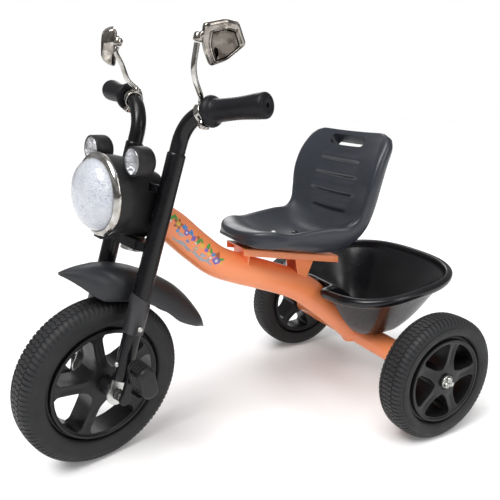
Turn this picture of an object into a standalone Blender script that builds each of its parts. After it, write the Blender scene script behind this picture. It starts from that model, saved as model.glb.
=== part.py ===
"""Children's tricycle with a front headlight unit, bucket seat and rear basket.

Metres, +Z up. The rider faces -Y and the rider's left is +X. The tyres stand on z = 0.
The fork, bars, lamps, fender and front wheel are built in the steering frame: x across,
y backwards and z up along the steering axis, with its origin at the front wheel's centre.
The steering is turned a little to the left, as the object stands.
"""

import math

import bmesh
import bpy
import numpy as np
from mathutils import Matrix, Vector

# ---------------------------------------------------------------- driving dimensions
GAP = 0.0003                  # between pieces that touch
BBOX_SHIFT = (0.0, -0.0080, 0.0)   # from mid wheelbase on the ground to the box's bottom centre

WHEELBASE = 0.470
STEER_DEG = 14.8              # how far the front end is turned at rest
RAKE_DEG = 17.5               # steering axis leans back

FRONT_R = 0.125               # 10 inch front wheel
FRONT_W = 0.0507
FRONT_BEAD = 0.0890
REAR_R = 0.0989               # 8 inch rear wheels
REAR_W = 0.0489
REAR_BEAD = 0.0710
REAR_TRACK = 0.1964           # wheel centre from the middle plane
AXLE_R = 0.005

LEG_X = 0.0514                # fork legs from the middle plane
LEG_R = 0.0127
LEG_WALL = 0.0015
LEG_BOTTOM = 0.022
LEG_TOP = 0.343
BOLT_Z = 0.0445               # cross bolt of each dropout
RIVET_Z = 0.1010              # rivet of each fender sleeve
BAR_R = 0.0108
BAR_WALL = 0.0014
BAR_BEND_Z = 0.3555
BAR_BEND_R = 0.050
BAR_SWEEP = 0.15              # backwards, per unit sideways
GRIP_END_X = 0.1785
GRIP_RISE = {1: 0.24, -1: 0.10}   # each bar is turned a little differently in its socket

HEAD_LOW, HEAD_HIGH = 0.2197, 0.2822
HEAD_R = 0.0165
STEM_R = 0.0095
MAIN_R = 0.0245
MAIN_WALL = 0.0016
BEAM_R = 0.0200
BEAM_HALF = 0.1675

LAMP_CENTRE = (0.0, -0.0669, 0.2653)   # bezel plane, steering frame
LAMP_PITCH = 0.2236           # lamp axis below the forward normal of the steering axis
BEZEL_R = 0.0557
LENS_R = 0.0475
LENS_DOME = 0.0247
SPOT_X = 0.0520
SPOT_R = 0.0191

MIRROR_TURN = {1: math.radians(4.0), -1: math.radians(75.0)}  # facing, from rider's left towards the back
MIRROR_W, MIRROR_H, MIRROR_D = 0.0630, 0.0555, 0.0220
MIRROR_OUT = {1: 0.0060, -1: -0.0010}

BASKET_FLOOR = (0.1195, 0.2452, 0.0688, 0.0483)   # z, centre y, half width, half length
BASKET_RIM = (0.2109, 0.2503, 0.1389, 0.1148)     # the same under the rolled rim
BASKET_TILT = 0.0137          # the rim's rise towards the back, over its half length
BASKET_WALL = 0.0026
SEAT_WALL = 0.0030

FRONT_Y = -WHEELBASE / 2
REAR_Y = WHEELBASE / 2
RAKE = math.radians(RAKE_DEG)
STEER = math.radians(STEER_DEG)

for old in list(bpy.data.objects):
    bpy.data.objects.remove(old, do_unlink=True)
for old in list(bpy.data.meshes):
    bpy.data.meshes.remove(old)


# ---------------------------------------------------------------- materials
def material(name, rgb, rough, metal=0.0, alpha=1.0):
    mat = bpy.data.materials.new(name)
    mat.use_nodes = True
    shader = mat.node_tree.nodes["Principled BSDF"]
    shader.inputs["Base Color"].default_value = (*rgb, 1.0)
    shader.inputs["Roughness"].default_value = rough
    shader.inputs["Metallic"].default_value = metal
    shader.inputs["Alpha"].default_value = alpha
    mat.diffuse_color = (*rgb, alpha)
    return mat


ORANGE = dict(rgb=(0.80, 0.215, 0.070), rough=0.38)
BLACK_PAINT = dict(rgb=(0.012, 0.012, 0.014), rough=0.25)
BLACK_PLASTIC = dict(rgb=(0.020, 0.021, 0.023), rough=0.42)
GREY_PLASTIC = dict(rgb=(0.050, 0.053, 0.060), rough=0.36)
BASKET_PLASTIC = dict(rgb=(0.016, 0.016, 0.018), rough=0.24)
TYRE_RUBBER = dict(rgb=(0.030, 0.030, 0.032), rough=0.72)
GRIP_RUBBER = dict(rgb=(0.014, 0.014, 0.017), rough=0.55)
WHEEL_PLASTIC = dict(rgb=(0.028, 0.029, 0.031), rough=0.45)
CHROME = dict(rgb=(0.78, 0.79, 0.80), rough=0.10, metal=1.0)
STEEL = dict(rgb=(0.52, 0.52, 0.50), rough=0.34, metal=1.0)
NYLON = dict(rgb=(0.040, 0.040, 0.042), rough=0.50)
MIRROR = dict(rgb=(0.86, 0.87, 0.88), rough=0.04, metal=1.0)
CLEAR = dict(rgb=(0.74, 0.80, 0.88), rough=0.06, alpha=0.55)


# ---------------------------------------------------------------- building helpers
def empty(name, parent=None, loc=(0, 0, 0), rot=(0, 0, 0)):
    obj = bpy.data.objects.new(name, None)
    obj.empty_display_size = 0.03
    bpy.context.collection.objects.link(obj)
    obj.parent = parent
    obj.location = loc
    obj.rotation_euler = rot
    return obj


def shade(mesh, angle):
    mesh.shade_smooth()
    mesh.set_sharp_from_angle(angle=math.radians(angle))


def solid(name, bm, mat, parent, loc=(0, 0, 0), rot=(0, 0, 0), angle=35, cutter=False):
    bmesh.ops.remove_doubles(bm, verts=bm.verts, dist=0.00001)
    bmesh.ops.recalc_face_normals(bm, faces=bm.faces)
    mesh = bpy.data.meshes.new(name)
    bm.to_mesh(mesh)
    bm.free()
    shade(mesh, angle)
    obj = bpy.data.objects.new(name, mesh)
    bpy.context.collection.objects.link(obj)
    obj.parent = parent
    obj.location = loc
    obj.rotation_euler = rot
    if cutter:
        obj.hide_render = True
        obj.display_type = "WIRE"
    else:
        mesh.materials.append(material("m_" + name, **mat))
    return obj


def cut(obj, cutter, operation="DIFFERENCE"):
    mod = obj.modifiers.new("cut_" + cutter.name, "BOOLEAN")
    mod.operation = operation
    mod.solver = "EXACT"
    mod.object = cutter
    return obj


def rings_to_faces(bm, rings, closed_path, caps):
    """Joins rings of equal length. A ring of one point is a pole."""
    loops = [[bm.verts.new(p) for p in ring] for ring in rings]
    pairs = list(zip(loops, loops[1:]))
    if closed_path:
        pairs.append((loops[-1], loops[0]))
    for a, b in pairs:
        n = max(len(a), len(b))
        if n == 1:
            continue
        for i in range(n):
            j = (i + 1) % n
            if len(a) == 1:
                bm.faces.new((a[0], b[j], b[i]))
            elif len(b) == 1:
                bm.faces.new((a[i], a[j], b[0]))
            else:
                bm.faces.new((a[i], a[j], b[j], b[i]))
    if caps and not closed_path:
        for loop in (loops[0], loops[-1]):
            if len(loop) > 2:
                bm.faces.new(loop)
    return bm


def lathe(profile, seg, closed=False, axis="Z", offset=(0, 0, 0), phase=0.0, bm=None):
    """Turns (radius, height) points about an axis."""
    bm = bm or bmesh.new()
    rings = []
    for r, h in profile:
        ring = []
        for k in range(1 if r < 1e-7 else seg):
            a = 2 * math.pi * k / seg + phase
            u, v = r * math.cos(a), r * math.sin(a)
            p = {"Z": (u, v, h), "X": (h, u, v), "Y": (v, h, u)}[axis]
            ring.append(Vector(p) + Vector(offset))
        rings.append(ring)
    return rings_to_faces(bm, rings, closed, caps=not closed)


def frames(path, start):
    """A steady pair of normals at each point of a path."""
    pts = [Vector(p) for p in path]
    out = []
    normal = Vector(start)
    for i, p in enumerate(pts):
        a = pts[max(i - 1, 0)]
        b = pts[min(i + 1, len(pts) - 1)]
        tangent = (b - a).normalized()
        normal = (normal - tangent * normal.dot(tangent)).normalized()
        out.append((p, tangent, normal, tangent.cross(normal)))
    return out


def pipe(path, radius, wall=0.0, seg=14, start=(1, 0, 0), bm=None, radii=None):
    """A round tube along a path, open at both ends, or a rod where wall is 0."""
    bm = bm or bmesh.new()
    fr = frames(path, start)

    def ring(f, r):
        p, _, n, b = f
        return [p + (n * math.cos(2 * math.pi * k / seg) + b * math.sin(2 * math.pi * k / seg)) * r for k in range(seg)]

    radii = radii or [radius] * len(fr)
    rings = [ring(f, r) for f, r in zip(fr, radii)]
    if wall:
        rings += [ring(f, r - wall) for f, r in zip(reversed(fr), reversed(radii))]
    return rings_to_faces(bm, rings, closed_path=bool(wall), caps=not wall)


def prism(outline, low, high, axis="X", bm=None, offset=(0, 0, 0)):
    """Extrudes a flat outline. With axis X the outline is (y, z), with Z it is (x, y), with Y it is (x, z)."""
    bm = bm or bmesh.new()
    put = {"X": lambda a, b, h: (h, a, b), "Y": lambda a, b, h: (a, h, b), "Z": lambda a, b, h: (a, b, h)}[axis]
    base = [bm.verts.new(Vector(put(a, b, low)) + Vector(offset)) for a, b in outline]
    face = bm.faces.new(base)
    top = bmesh.ops.extrude_face_region(bm, geom=[face])
    move = Vector(put(0, 0, high)) - Vector(put(0, 0, low))
    bmesh.ops.translate(bm, verts=[v for v in top["geom"] if isinstance(v, bmesh.types.BMVert)], vec=move)
    return bm


def smooth_path(points, count):
    """Catmull-Rom curve through the points, evenly spaced."""
    pts = [np.array(p, float) for p in points]
    pts = [2 * pts[0] - pts[1]] + pts + [2 * pts[-1] - pts[-2]]
    dense = []
    for i in range(1, len(pts) - 2):
        p0, p1, p2, p3 = pts[i - 1 : i + 3]
        for t in np.linspace(0, 1, 24, endpoint=False):
            dense.append(0.5 * (2 * p1 + (p2 - p0) * t + (2 * p0 - 5 * p1 + 4 * p2 - p3) * t * t + (3 * p1 - p0 - 3 * p2 + p3) * t ** 3))
    dense.append(pts[-2])
    dense = np.array(dense)
    run = np.concatenate([[0], np.cumsum(np.linalg.norm(np.diff(dense, axis=0), axis=1))])
    want = np.linspace(0, run[-1], count)
    return [tuple(np.interp(w, run, dense[:, k]) for k in range(dense.shape[1])) for w in want]


def arc(cx, cy, r, a0, a1, n):
    return [(cx + r * math.cos(math.radians(a0 + (a1 - a0) * k / (n - 1))), cy + r * math.sin(math.radians(a0 + (a1 - a0) * k / (n - 1)))) for k in range(n)]


def lerp_table(x, xs, ys):
    return float(np.interp(x, xs, ys))


# ---------------------------------------------------------------- datums
def tread_drop(radius, width):
    """How far below its centre the leaning front wheel reaches."""
    rows = tyre_outer(radius, width)
    n = 32
    best = 0.0
    for r, x in rows:
        for k in range(n):
            a = 2 * math.pi * k / n
            p = Matrix.Rotation(-RAKE, 3, "X") @ Matrix.Rotation(STEER, 3, "Z") @ Vector((x, r * math.cos(a), r * math.sin(a)))
            best = max(best, -p.z)
    return best


def tyre_outer(radius, width):
    h = width / 2
    return [(radius - 0.0070, -h * 0.88), (radius - 0.0013, -h * 0.56), (radius, 0.0), (radius - 0.0013, h * 0.56), (radius - 0.0070, h * 0.88)]


datum = empty("datum", None, BBOX_SHIFT)
FRONT_Z = tread_drop(FRONT_R, FRONT_W)
rake = empty("head_datum", datum, (0, FRONT_Y, FRONT_Z), (-RAKE, 0, 0))
steering = empty("steering_pivot", rake, (0, 0, 0), (0, 0, STEER))
wheel_front = empty("front_wheel_pivot", steering, (0, 0, 0))
wheel_left = empty("rear_wheel_left_pivot", datum, (REAR_TRACK, REAR_Y, REAR_R))
wheel_right = empty("rear_wheel_right_pivot", datum, (-REAR_TRACK, REAR_Y, REAR_R))
SIDES = ((1, "left"), (-1, "right"))


def head_to_frame(y, z):
    """A point of the head datum's middle plane, in the frame's (y, z)."""
    return FRONT_Y + y * math.cos(RAKE) + z * math.sin(RAKE), FRONT_Z - y * math.sin(RAKE) + z * math.cos(RAKE)


# ---------------------------------------------------------------- wheels
def tyre(name, radius, width, bead, parent, seg):
    """A moulded casing with two side walls, open towards the rim."""
    h = width / 2
    t = 0.0042
    outer = tyre_outer(radius, width)
    side = bead + (radius - bead) * 0.34
    profile = [(bead, -h * 0.74), (side, -h)] + outer + [(side, h), (bead, h * 0.74)]
    inner = [(bead, h * 0.74 - t), (radius - 0.0098, h * 0.70), (radius - 0.0098, -h * 0.70), (bead, -h * 0.74 + t)]
    bm = lathe(profile + inner, seg, closed=True, axis="X")
    return solid(name, bm, TYRE_RUBBER, parent, angle=40)


def rim(name, bore, hub_r, outer_r, band, hub_half, band_half, web_half, parent, phase, boss=None):
    """A one-piece five-spoke wheel, built as a ring of cells with the windows left out."""
    spokes, per = 5, 5
    n = spokes * per
    rows = [(bore, hub_half)]
    if boss:
        rows += [(boss, hub_half), (boss + 0.0006, web_half + 0.0012)]
    rows += [(hub_r, web_half + 0.0008)]
    first_open = len(rows) - 1
    rows += [(hub_r + 0.010, web_half), (outer_r - band - 0.004, web_half), (outer_r - band, band_half)]
    last_open = len(rows) - 1
    rows += [(outer_r - 0.002, band_half), (outer_r, band_half - 0.0025)]
    widths = {first_open: 0.0155, first_open + 1: 0.0105, first_open + 2: 0.0082, first_open + 3: 0.0100}

    def angle(row, j):
        base, k = divmod(j, per)
        r = rows[row][0]
        step = 2 * math.pi / n
        if row in widths:
            edge = min(math.asin(min(widths[row] / r, 0.99)), 0.8 * math.pi / spokes)
        else:
            edge = step
        full = 2 * math.pi / spokes
        local = [0.0, edge] + [edge + (full - 2 * edge) * q / (per - 2) for q in range(1, per - 2)] + [full - edge]
        return phase + base * full + local[k]

    keep = [[True] * n for _ in range(len(rows) - 1)]
    for row in range(first_open, last_open):
        for j in range(n):
            if 1 <= j % per < per - 1:
                keep[row][j] = False
    bm = bmesh.new()
    verts = {}

    def vert(row, j, sign):
        key = (row, j % n, sign)
        if key not in verts:
            r, half = rows[row]
            a = angle(row, j % n)
            verts[key] = bm.verts.new((sign * half, r * math.cos(a), r * math.sin(a)))
        return verts[key]

    for row in range(len(rows) - 1):
        for j in range(n):
            if not keep[row][j]:
                continue
            for sign in (1, -1):
                quad = [vert(row, j, sign), vert(row, j + 1, sign), vert(row + 1, j + 1, sign), vert(row + 1, j, sign)]
                bm.faces.new(quad if sign > 0 else quad[::-1])
            edges = [
                (row == 0 or not keep[row - 1][j], (row, j), (row, j + 1)),
                (row == len(rows) - 2 or not keep[row + 1][j], (row + 1, j + 1), (row + 1, j)),
                (not keep[row][j - 1], (row + 1, j), (row, j)),
                (not keep[row][(j + 1) % n], (row, j + 1), (row + 1, j + 1)),
            ]
            for is_open, a, b in edges:
                if is_open:
                    bm.faces.new((vert(*a, 1), vert(*a, -1), vert(*b, -1), vert(*b, 1)))
    return solid(name, bm, WHEEL_PLASTIC, parent, angle=30)


tyre("front_tyre", FRONT_R, FRONT_W, FRONT_BEAD, wheel_front, 32)
rim("front_rim", AXLE_R + GAP, 0.0225, FRONT_BEAD - 0.001, 0.0105, 0.0400, 0.0225, 0.0195, wheel_front, math.radians(114.5), boss=0.0115)
for sign, side in SIDES:
    hub = wheel_left if sign > 0 else wheel_right
    tyre("rear_tyre_" + side, REAR_R, REAR_W, REAR_BEAD, hub, 28)
    rim("rear_rim_" + side, AXLE_R + 0.0027, 0.0185, REAR_BEAD - 0.001, 0.0100, 0.0205, 0.0232, 0.0208, hub, math.radians(77), boss=0.0125)
    bush = lathe([(AXLE_R + GAP, -0.0235), (AXLE_R + GAP, 0.0235), (0.0098, 0.0235), (0.0098, 0.0209), (AXLE_R + 0.0024, 0.0209), (AXLE_R + 0.0024, -0.0209), (0.0098, -0.0209), (0.0098, -0.0235)], 16, closed=True, axis="X")
    solid("rear_bush_" + side, bush, NYLON, hub)

# ---------------------------------------------------------------- cranks and pedals
CRANK_LEN = 0.043
CRANK_X = 0.0705
PEDAL_X = (0.0800, 0.1165)
axle_rod = lathe([(0, -0.0670), (AXLE_R, -0.0670), (AXLE_R, 0.0670), (0, 0.0670)], 14, axis="X")
solid("crank_axle", axle_rod, STEEL, wheel_front)
pedals = {}
for sign, side in SIDES:
    up = 1 if sign > 0 else -1
    arm = [(a, b) for a, b in arc(0, 0, 0.0082, 180, 360, 7)]
    arm += [(a, b + CRANK_LEN) for a, b in arc(0, 0, 0.0068, 0, 180, 7)]
    bm = prism([(y * up, z * up) for y, z in arm], sign * (CRANK_X - 0.0032), sign * (CRANK_X + 0.0032), "X")
    crank = solid("crank_" + side, bm, BLACK_PAINT, wheel_front)
    pin = solid("pin_tool_" + side, lathe([(0, CRANK_X), (0.0040, CRANK_X), (0.0040, PEDAL_X[1] - 0.006), (0, PEDAL_X[1] - 0.006)], 12, axis="X", offset=(0, 0, CRANK_LEN)), None, wheel_front, rot=(0 if sign > 0 else math.pi, 0, 0 if sign > 0 else math.pi), cutter=True)
    if sign < 0:
        pin.rotation_euler = (0, math.pi, 0)
        pin.location = (0, 0, 0)
    cut(crank, pin, "UNION")
    pivot = empty("pedal_%s_pivot" % side, wheel_front, (0, 0, up * CRANK_LEN))
    pedals[side] = pivot
    half, thick = 0.0235, 0.0115
    loop = arc(half - 0.006, thick - 0.005, 0.005, 0, 90, 3) + arc(-half + 0.006, thick - 0.005, 0.005, 90, 180, 3) + arc(-half + 0.006, -thick + 0.005, 0.005, 180, 270, 3) + arc(half - 0.006, -thick + 0.005, 0.005, 270, 360, 3)
    tilt = math.radians(118)
    turned = [(y * math.cos(tilt) - z * math.sin(tilt), y * math.sin(tilt) + z * math.cos(tilt)) for y, z in loop]
    body = solid("pedal_" + side, prism(turned, sign * PEDAL_X[0], sign * PEDAL_X[1], "X"), BLACK_PLASTIC, pivot)
    bore = solid("pedal_bore_" + side, lathe([(0, 0.075), (0.0044, 0.075), (0.0044, PEDAL_X[1] - 0.0030), (0, PEDAL_X[1] - 0.0030)], 12, axis="X"), None, pivot, cutter=True, rot=(0, 0 if sign > 0 else math.pi, 0))
    cut(body, bore)
    for k in (-1, 1):
        y0, z0 = k * 0.0150, 0.0
        w, t = 0.0035, 0.020
        slot = [(y0 - w, -t), (y0 + w, -t), (y0 + w, t), (y0 - w, t)]
        slot = [(y * math.cos(tilt) - z * math.sin(tilt), y * math.sin(tilt) + z * math.cos(tilt)) for y, z in slot]
        window = solid("pedal_slot_%s_%s" % (side, "ab"[k > 0]), prism(slot, sign * (PEDAL_X[0] + 0.008), sign * (PEDAL_X[1] - 0.010), "X"), None, pivot, cutter=True)
        cut(body, window)

# ---------------------------------------------------------------- fork
for sign, side in SIDES:
    x = sign * LEG_X
    leg = solid("fork_leg_" + side, pipe([(x, 0, LEG_BOTTOM), (x, 0, LEG_TOP)], LEG_R, LEG_WALL, 16), BLACK_PAINT, steering)
    cut(leg, solid("leg_bolt_hole_" + side, lathe([(0, -0.02), (0.0027, -0.02), (0.0027, 0.02), (0, 0.02)], 10, axis="Y", offset=(x, 0, BOLT_Z)), None, steering, cutter=True))
    hole = lathe([(0, sign * 0.052), (0.0023, sign * 0.052), (0.0023, sign * 0.075), (0, sign * 0.075)], 10, axis="X", offset=(0, 0, RIVET_Z))
    rivet_hole = solid("leg_rivet_hole_" + side, hole, None, steering, cutter=True)
    cut(leg, rivet_hole)
    rivet_x = LEG_X + LEG_R + 0.0028 + GAP
    pts = [(0, LEG_X + 0.0100), (0.0020, LEG_X + 0.0100), (0.0020, rivet_x), (0.0040, rivet_x), (0.0034, rivet_x + 0.0015), (0, rivet_x + 0.0020)]
    solid("fender_rivet_" + side, lathe([(r, sign * h) for r, h in pts], 12, axis="X", offset=(0, 0, RIVET_Z)), STEEL, steering)
    at = LEG_R + GAP
    pts = [(0, -at - 0.0028), (0.0034, -at - 0.0020), (0.0038, -at), (0.0024, -at), (0.0024, at), (0.0042, at), (0.0042, at + 0.0030), (0, at + 0.0034)]
    solid("dropout_bolt_" + side, lathe(pts, 12, axis="Y", offset=(x, 0, BOLT_Z)), STEEL, steering)
    outline = [(-0.0090, 0.038), (-0.0090, LEG_BOTTOM - 0.0012), (-0.0125, LEG_BOTTOM - 0.0022), (-0.0138, 0.0100)] + arc(0, 0, 0.0160, 150, 390, 13) + [(0.0138, 0.0100), (0.0125, LEG_BOTTOM - 0.0022), (0.0090, LEG_BOTTOM - 0.0012), (0.0090, 0.038)]
    plate = solid("dropout_" + side, prism(outline, x - 0.0016, x + 0.0016, "X"), STEEL, steering)
    cut(plate, solid("dropout_hole_" + side, lathe([(0, -0.01), (0.0078, -0.01), (0.0078, 0.01), (0, 0.01)], 16, axis="X", offset=(x, 0, 0)), None, steering, cutter=True))

for q, side in SIDES:
    bush = [(AXLE_R + GAP, q * 0.0405), (0.0105, q * 0.0405), (0.0105, q * (LEG_X - 0.0019)), (0.0074, q * (LEG_X - 0.0019)), (0.0074, q * 0.0595), (AXLE_R + GAP, q * 0.0595)]
    solid("fork_bush_" + side, lathe(bush, 16, closed=True, axis="X"), NYLON, steering)


def crown(name, low, high, front):
    """A plate between the legs, hollowed at its ends to fit against them."""
    outline = [(0.0440, -0.0105), (0.0440, 0.0105), (0.0180, 0.0160), (-0.0180, 0.0160), (-0.0440, 0.0105), (-0.0440, -0.0105), (-0.0300, -front), (0.0300, -front)]
    obj = solid(name, prism(outline, low, high, "Z"), BLACK_PAINT, steering)
    for x, r in ((LEG_X, LEG_R + GAP), (-LEG_X, LEG_R + GAP), (0.0, STEM_R + GAP)):
        cut(obj, solid("%s_hole_%s" % (name, "l" if x > 0 else "r" if x < 0 else "m"), lathe([(0, low - 0.01), (r, low - 0.01), (r, high + 0.01), (0, high + 0.01)], 16, offset=(x, 0, 0)), None, steering, cutter=True))
    return obj


crown("crown_upper", 0.2860, 0.2960, 0.0170)
lower = crown("crown_lower", 0.2035, 0.2160, 0.0185)
cut(lower, solid("crown_flange", prism([(-0.0200, 0.2035), (-0.0200, 0.2172), (-0.0176, 0.2172), (-0.0176, 0.2035)], -0.0350, 0.0350, "X"), None, steering, cutter=True), "UNION")
bore = STEM_R - 0.002
stem = [(STEM_R, 0.2032), (STEM_R, 0.3040), (bore, 0.3040), (bore, 0.1965), (0.0150, 0.1965), (0.0150, 0.2032)]
solid("steering_stem", lathe(stem, 16, closed=True), STEEL, steering)
bm = bmesh.new()
rings = []
for r, h in ((STEM_R + 3 * GAP, 0.2963), (0.0150, 0.2963), (0.0150, 0.3030), (STEM_R + 3 * GAP, 0.3030)):
    ring = []
    for k in range(12):
        flat = math.cos(math.pi / 6) if r > 0.012 and k % 2 else 1.0
        ring.append(Vector((r * flat * math.cos(math.pi * k / 6), r * flat * math.sin(math.pi * k / 6), h)))
    rings.append(ring)
rings_to_faces(bm, rings, True, False)
solid("stem_nut", bm, STEEL, steering)

# ---------------------------------------------------------------- bars and grips
def bar_path(sign, count_bend=7, end=GRIP_END_X - 0.006):
    """Straight in the leg, a bend outwards, then the grip's straight run, which rises and sweeps back."""
    rise = GRIP_RISE[sign]
    stop = math.radians(90) - math.atan(rise)
    pts = [(LEG_X, 0.0, 0.300), (LEG_X, 0.0, BAR_BEND_Z)]
    for k in range(1, count_bend + 1):
        a = stop * k / count_bend
        pts.append((LEG_X + BAR_BEND_R * (1 - math.cos(a)), 0.0, BAR_BEND_Z + BAR_BEND_R * math.sin(a)))
    x0, _, z0 = pts[-1]
    pts.append((end, 0.0, z0 + (end - x0) * rise))
    out = []
    for x, y, z in pts:
        s = max(x - LEG_X - 0.006, 0.0)
        back = BAR_SWEEP * s * s / (s + 0.012)
        out.append(Vector((sign * x, back, z)))
    return out


for sign, side in SIDES:
    path = bar_path(sign)
    solid("handlebar_" + side, pipe(path, BAR_R, BAR_WALL, 12), BLACK_PAINT, steering, angle=40)
    a, b = path[-2], path[-1]
    axis = (b - a).normalized()
    turn = Vector((0, 0, 1)).rotation_difference(axis).to_euler()
    length = (b - a).length
    start = 0.0015
    inner = BAR_R + 0.0004
    finish = length + 0.0065
    profile = [(inner, start), (0.0190, start), (0.0205, start + 0.004), (0.0190, start + 0.009), (0.0152, start + 0.013), (0.0140, start + 0.036), (0.0148, start + 0.060), (0.0158, finish - 0.008), (0.0140, finish - 0.0015), (0.0110, finish), (0.0030, finish), (0.0030, finish - 0.0045), (inner, finish - 0.0045)]
    solid("grip_" + side, lathe(profile, 14, closed=True), GRIP_RUBBER, steering, loc=a, rot=turn, angle=45)

# ---------------------------------------------------------------- mirrors
CLAMP_STEP = 6                # bend station that carries the clamp
mirror_pivots = {}
for sign, side in SIDES:
    path = bar_path(sign)
    i = 1 + CLAMP_STEP
    centre = path[i]
    axis = (path[i + 1] - path[i - 1]).normalized()
    turn = Vector((0, 0, 1)).rotation_difference(axis).to_euler()
    bm = lathe([(BAR_R + 0.0009, -0.0050), (0.0134, -0.0050), (0.0134, 0.0050), (BAR_R + 0.0009, 0.0050)], 14, closed=True)
    clamp = solid("mirror_arm_" + side, bm, CHROME, steering, loc=centre, rot=turn)
    down = Vector((0, 0, -1)) - axis * axis.dot(Vector((0, 0, -1)))
    down.normalize()
    lug_mid = centre + down * 0.0175
    lug = solid("clamp_lug_" + side, pipe([centre + down * 0.0126, centre + down * 0.0210], 0.0050, 0, 10, start=axis), None, steering, cutter=True)
    cut(clamp, lug, "UNION")
    screw_dir = axis.cross(down).normalized()
    screw = solid("clamp_screw_" + side, pipe([lug_mid - screw_dir * 0.0085, lug_mid + screw_dir * 0.0085], 0.0030, 0, 10, start=axis), None, steering, cutter=True)
    cut(clamp, screw, "UNION")
    cut(clamp, solid("clamp_seat_" + side, pipe([centre - down * 0.0126, centre - down * 0.0185], 0.0050, 0, 10, start=axis), None, steering, cutter=True), "UNION")
    base = centre - down * 0.0160
    if sign > 0:
        stem_path = [base, (0.0870, -0.0140, 0.4215), (0.0905, -0.0290, 0.4350), (0.0914, -0.0370, 0.4500), (0.0914, -0.0405, 0.4764)]
    else:
        stem_path = [base, (-0.0868, -0.0130, 0.4270), (-0.0895, -0.0270, 0.4455), (-0.0914, -0.0388, 0.4580), (-0.0914, -0.0392, 0.4662)]
    top = Vector(stem_path[-1])
    stem_path = smooth_path(stem_path, 10)
    cut(clamp, solid("mirror_rod_" + side, pipe(stem_path, 0.0036, 0, 8, start=(1, 0, 0)), None, steering, cutter=True), "UNION")
    pivot = empty("mirror_%s_pivot" % side, steering, top + Vector((0, 0, 0.0003)))
    mirror_pivots[side] = pivot


def shield(width, height, scale=1.0):
    """Five-sided mirror outline with softened corners, (across, up), pointed end down."""
    corners = [(-0.48, 0.06), (-0.47, 0.40), (-0.02, 0.51), (0.27, 0.46), (0.51, -0.02), (0.10, -0.39), (-0.25, -0.52), (-0.40, -0.20)]
    out = []
    for k, (a, b) in enumerate(corners):
        p = np.array(corners[k - 1])
        c = np.array((a, b))
        n = np.array(corners[(k + 1) % len(corners)])
        for t in (0.0, 1.0):
            q = c + (p - c) * 0.16 * (1 - t) ** 2 + (n - c) * 0.16 * t ** 2
            out.append((q[0] * width * scale, q[1] * height * scale))
    return out


def loft(loops, bm=None):
    return rings_to_faces(bm or bmesh.new(), loops, False, True)


for sign, side in SIDES:
    pivot = mirror_pivots[side]
    face = empty("mirror_%s_face" % side, pivot, (0, 0, 0))
    basis = (Matrix.Rotation(-RAKE, 3, "X") @ Matrix.Rotation(STEER, 3, "Z")).inverted()
    turn = MIRROR_TURN[sign]
    normal = basis @ Vector((math.cos(turn) * 0.955, math.sin(turn) * 0.955, -0.297 if sign > 0 else -0.10)).normalized()
    up = basis @ Vector((0, 0, 1))
    up = (up - normal * up.dot(normal)).normalized()
    right = up.cross(normal).normalized()
    face.matrix_local = Matrix((
        (right.x, up.x, normal.x, 0), (right.y, up.y, normal.y, 0), (right.z, up.z, normal.z, 0), (0, 0, 0, 1)))
    # both heads are the same moulding, with the pivot beside the outline's left edge
    off = (0.48 * MIRROR_W + 0.0050, 0.0015)

    def ring_at(scale, depth):
        return [Vector((off[0] + a, off[1] + b, depth)) for a, b in shield(MIRROR_W, MIRROR_H, scale)]

    loops = [ring_at(0.40, -MIRROR_D + 0.001), ring_at(0.74, -MIRROR_D + 0.004), ring_at(0.93, -MIRROR_D * 0.55), ring_at(1.0, -0.0050), ring_at(1.0, -0.0012), ring_at(0.95, 0.0008), ring_at(0.78, -0.0004), ring_at(0.74, -0.0034)]
    head = solid("mirror_head_" + side, loft(loops), CHROME, face, loc=(0, 0, MIRROR_OUT[sign]))
    solid("mirror_glass_" + side, loft([ring_at(0.715, -0.0034 + GAP), ring_at(0.715, -0.0014), ring_at(0.69, -0.0009)]), MIRROR, face, loc=(0, 0, MIRROR_OUT[sign]))
    knob = lathe([(0, 0.0012), (0.0046, 0.0012), (0.0060, 0.0030), (0.0060, 0.0110), (0, 0.0130)], 12)
    cut(head, solid("mirror_boss_" + side, knob, None, pivot, cutter=True), "UNION")
    reach = [Vector((0, 0.0055, 0)), Vector((off[0] - 0.42 * MIRROR_W, off[1] + 0.0100, 0.0000))]
    cut(head, solid("mirror_neck_" + side, pipe(reach, 0.0042, 0, 8, start=(0, 0, 1)), None, face, cutter=True), "UNION")

# ---------------------------------------------------------------- headlight
LAMP_ROT = (math.pi / 2 + LAMP_PITCH, 0, 0)
lamp = empty("lamp_datum", steering, LAMP_CENTRE, LAMP_ROT)   # local +Z points forward, +Y up


def bowl(profile_out, profile_in):
    return profile_out + profile_in[::-1]


# (forward of the fork plane, lean with height, half width, lowest, highest, squareness)
HOUSING_ROWS = (
    (0.0335, 0.14, 0.0468, 0.2165, 0.3205, 2.15),
    (0.0190, 0.08, 0.0408, 0.2195, 0.3180, 2.7),
    (0.0060, 0.03, 0.0377, 0.2225, 0.3135, 3.3),
    (-0.0020, 0.0, 0.0373, 0.2235, 0.3115, 3.5),
)


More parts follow.
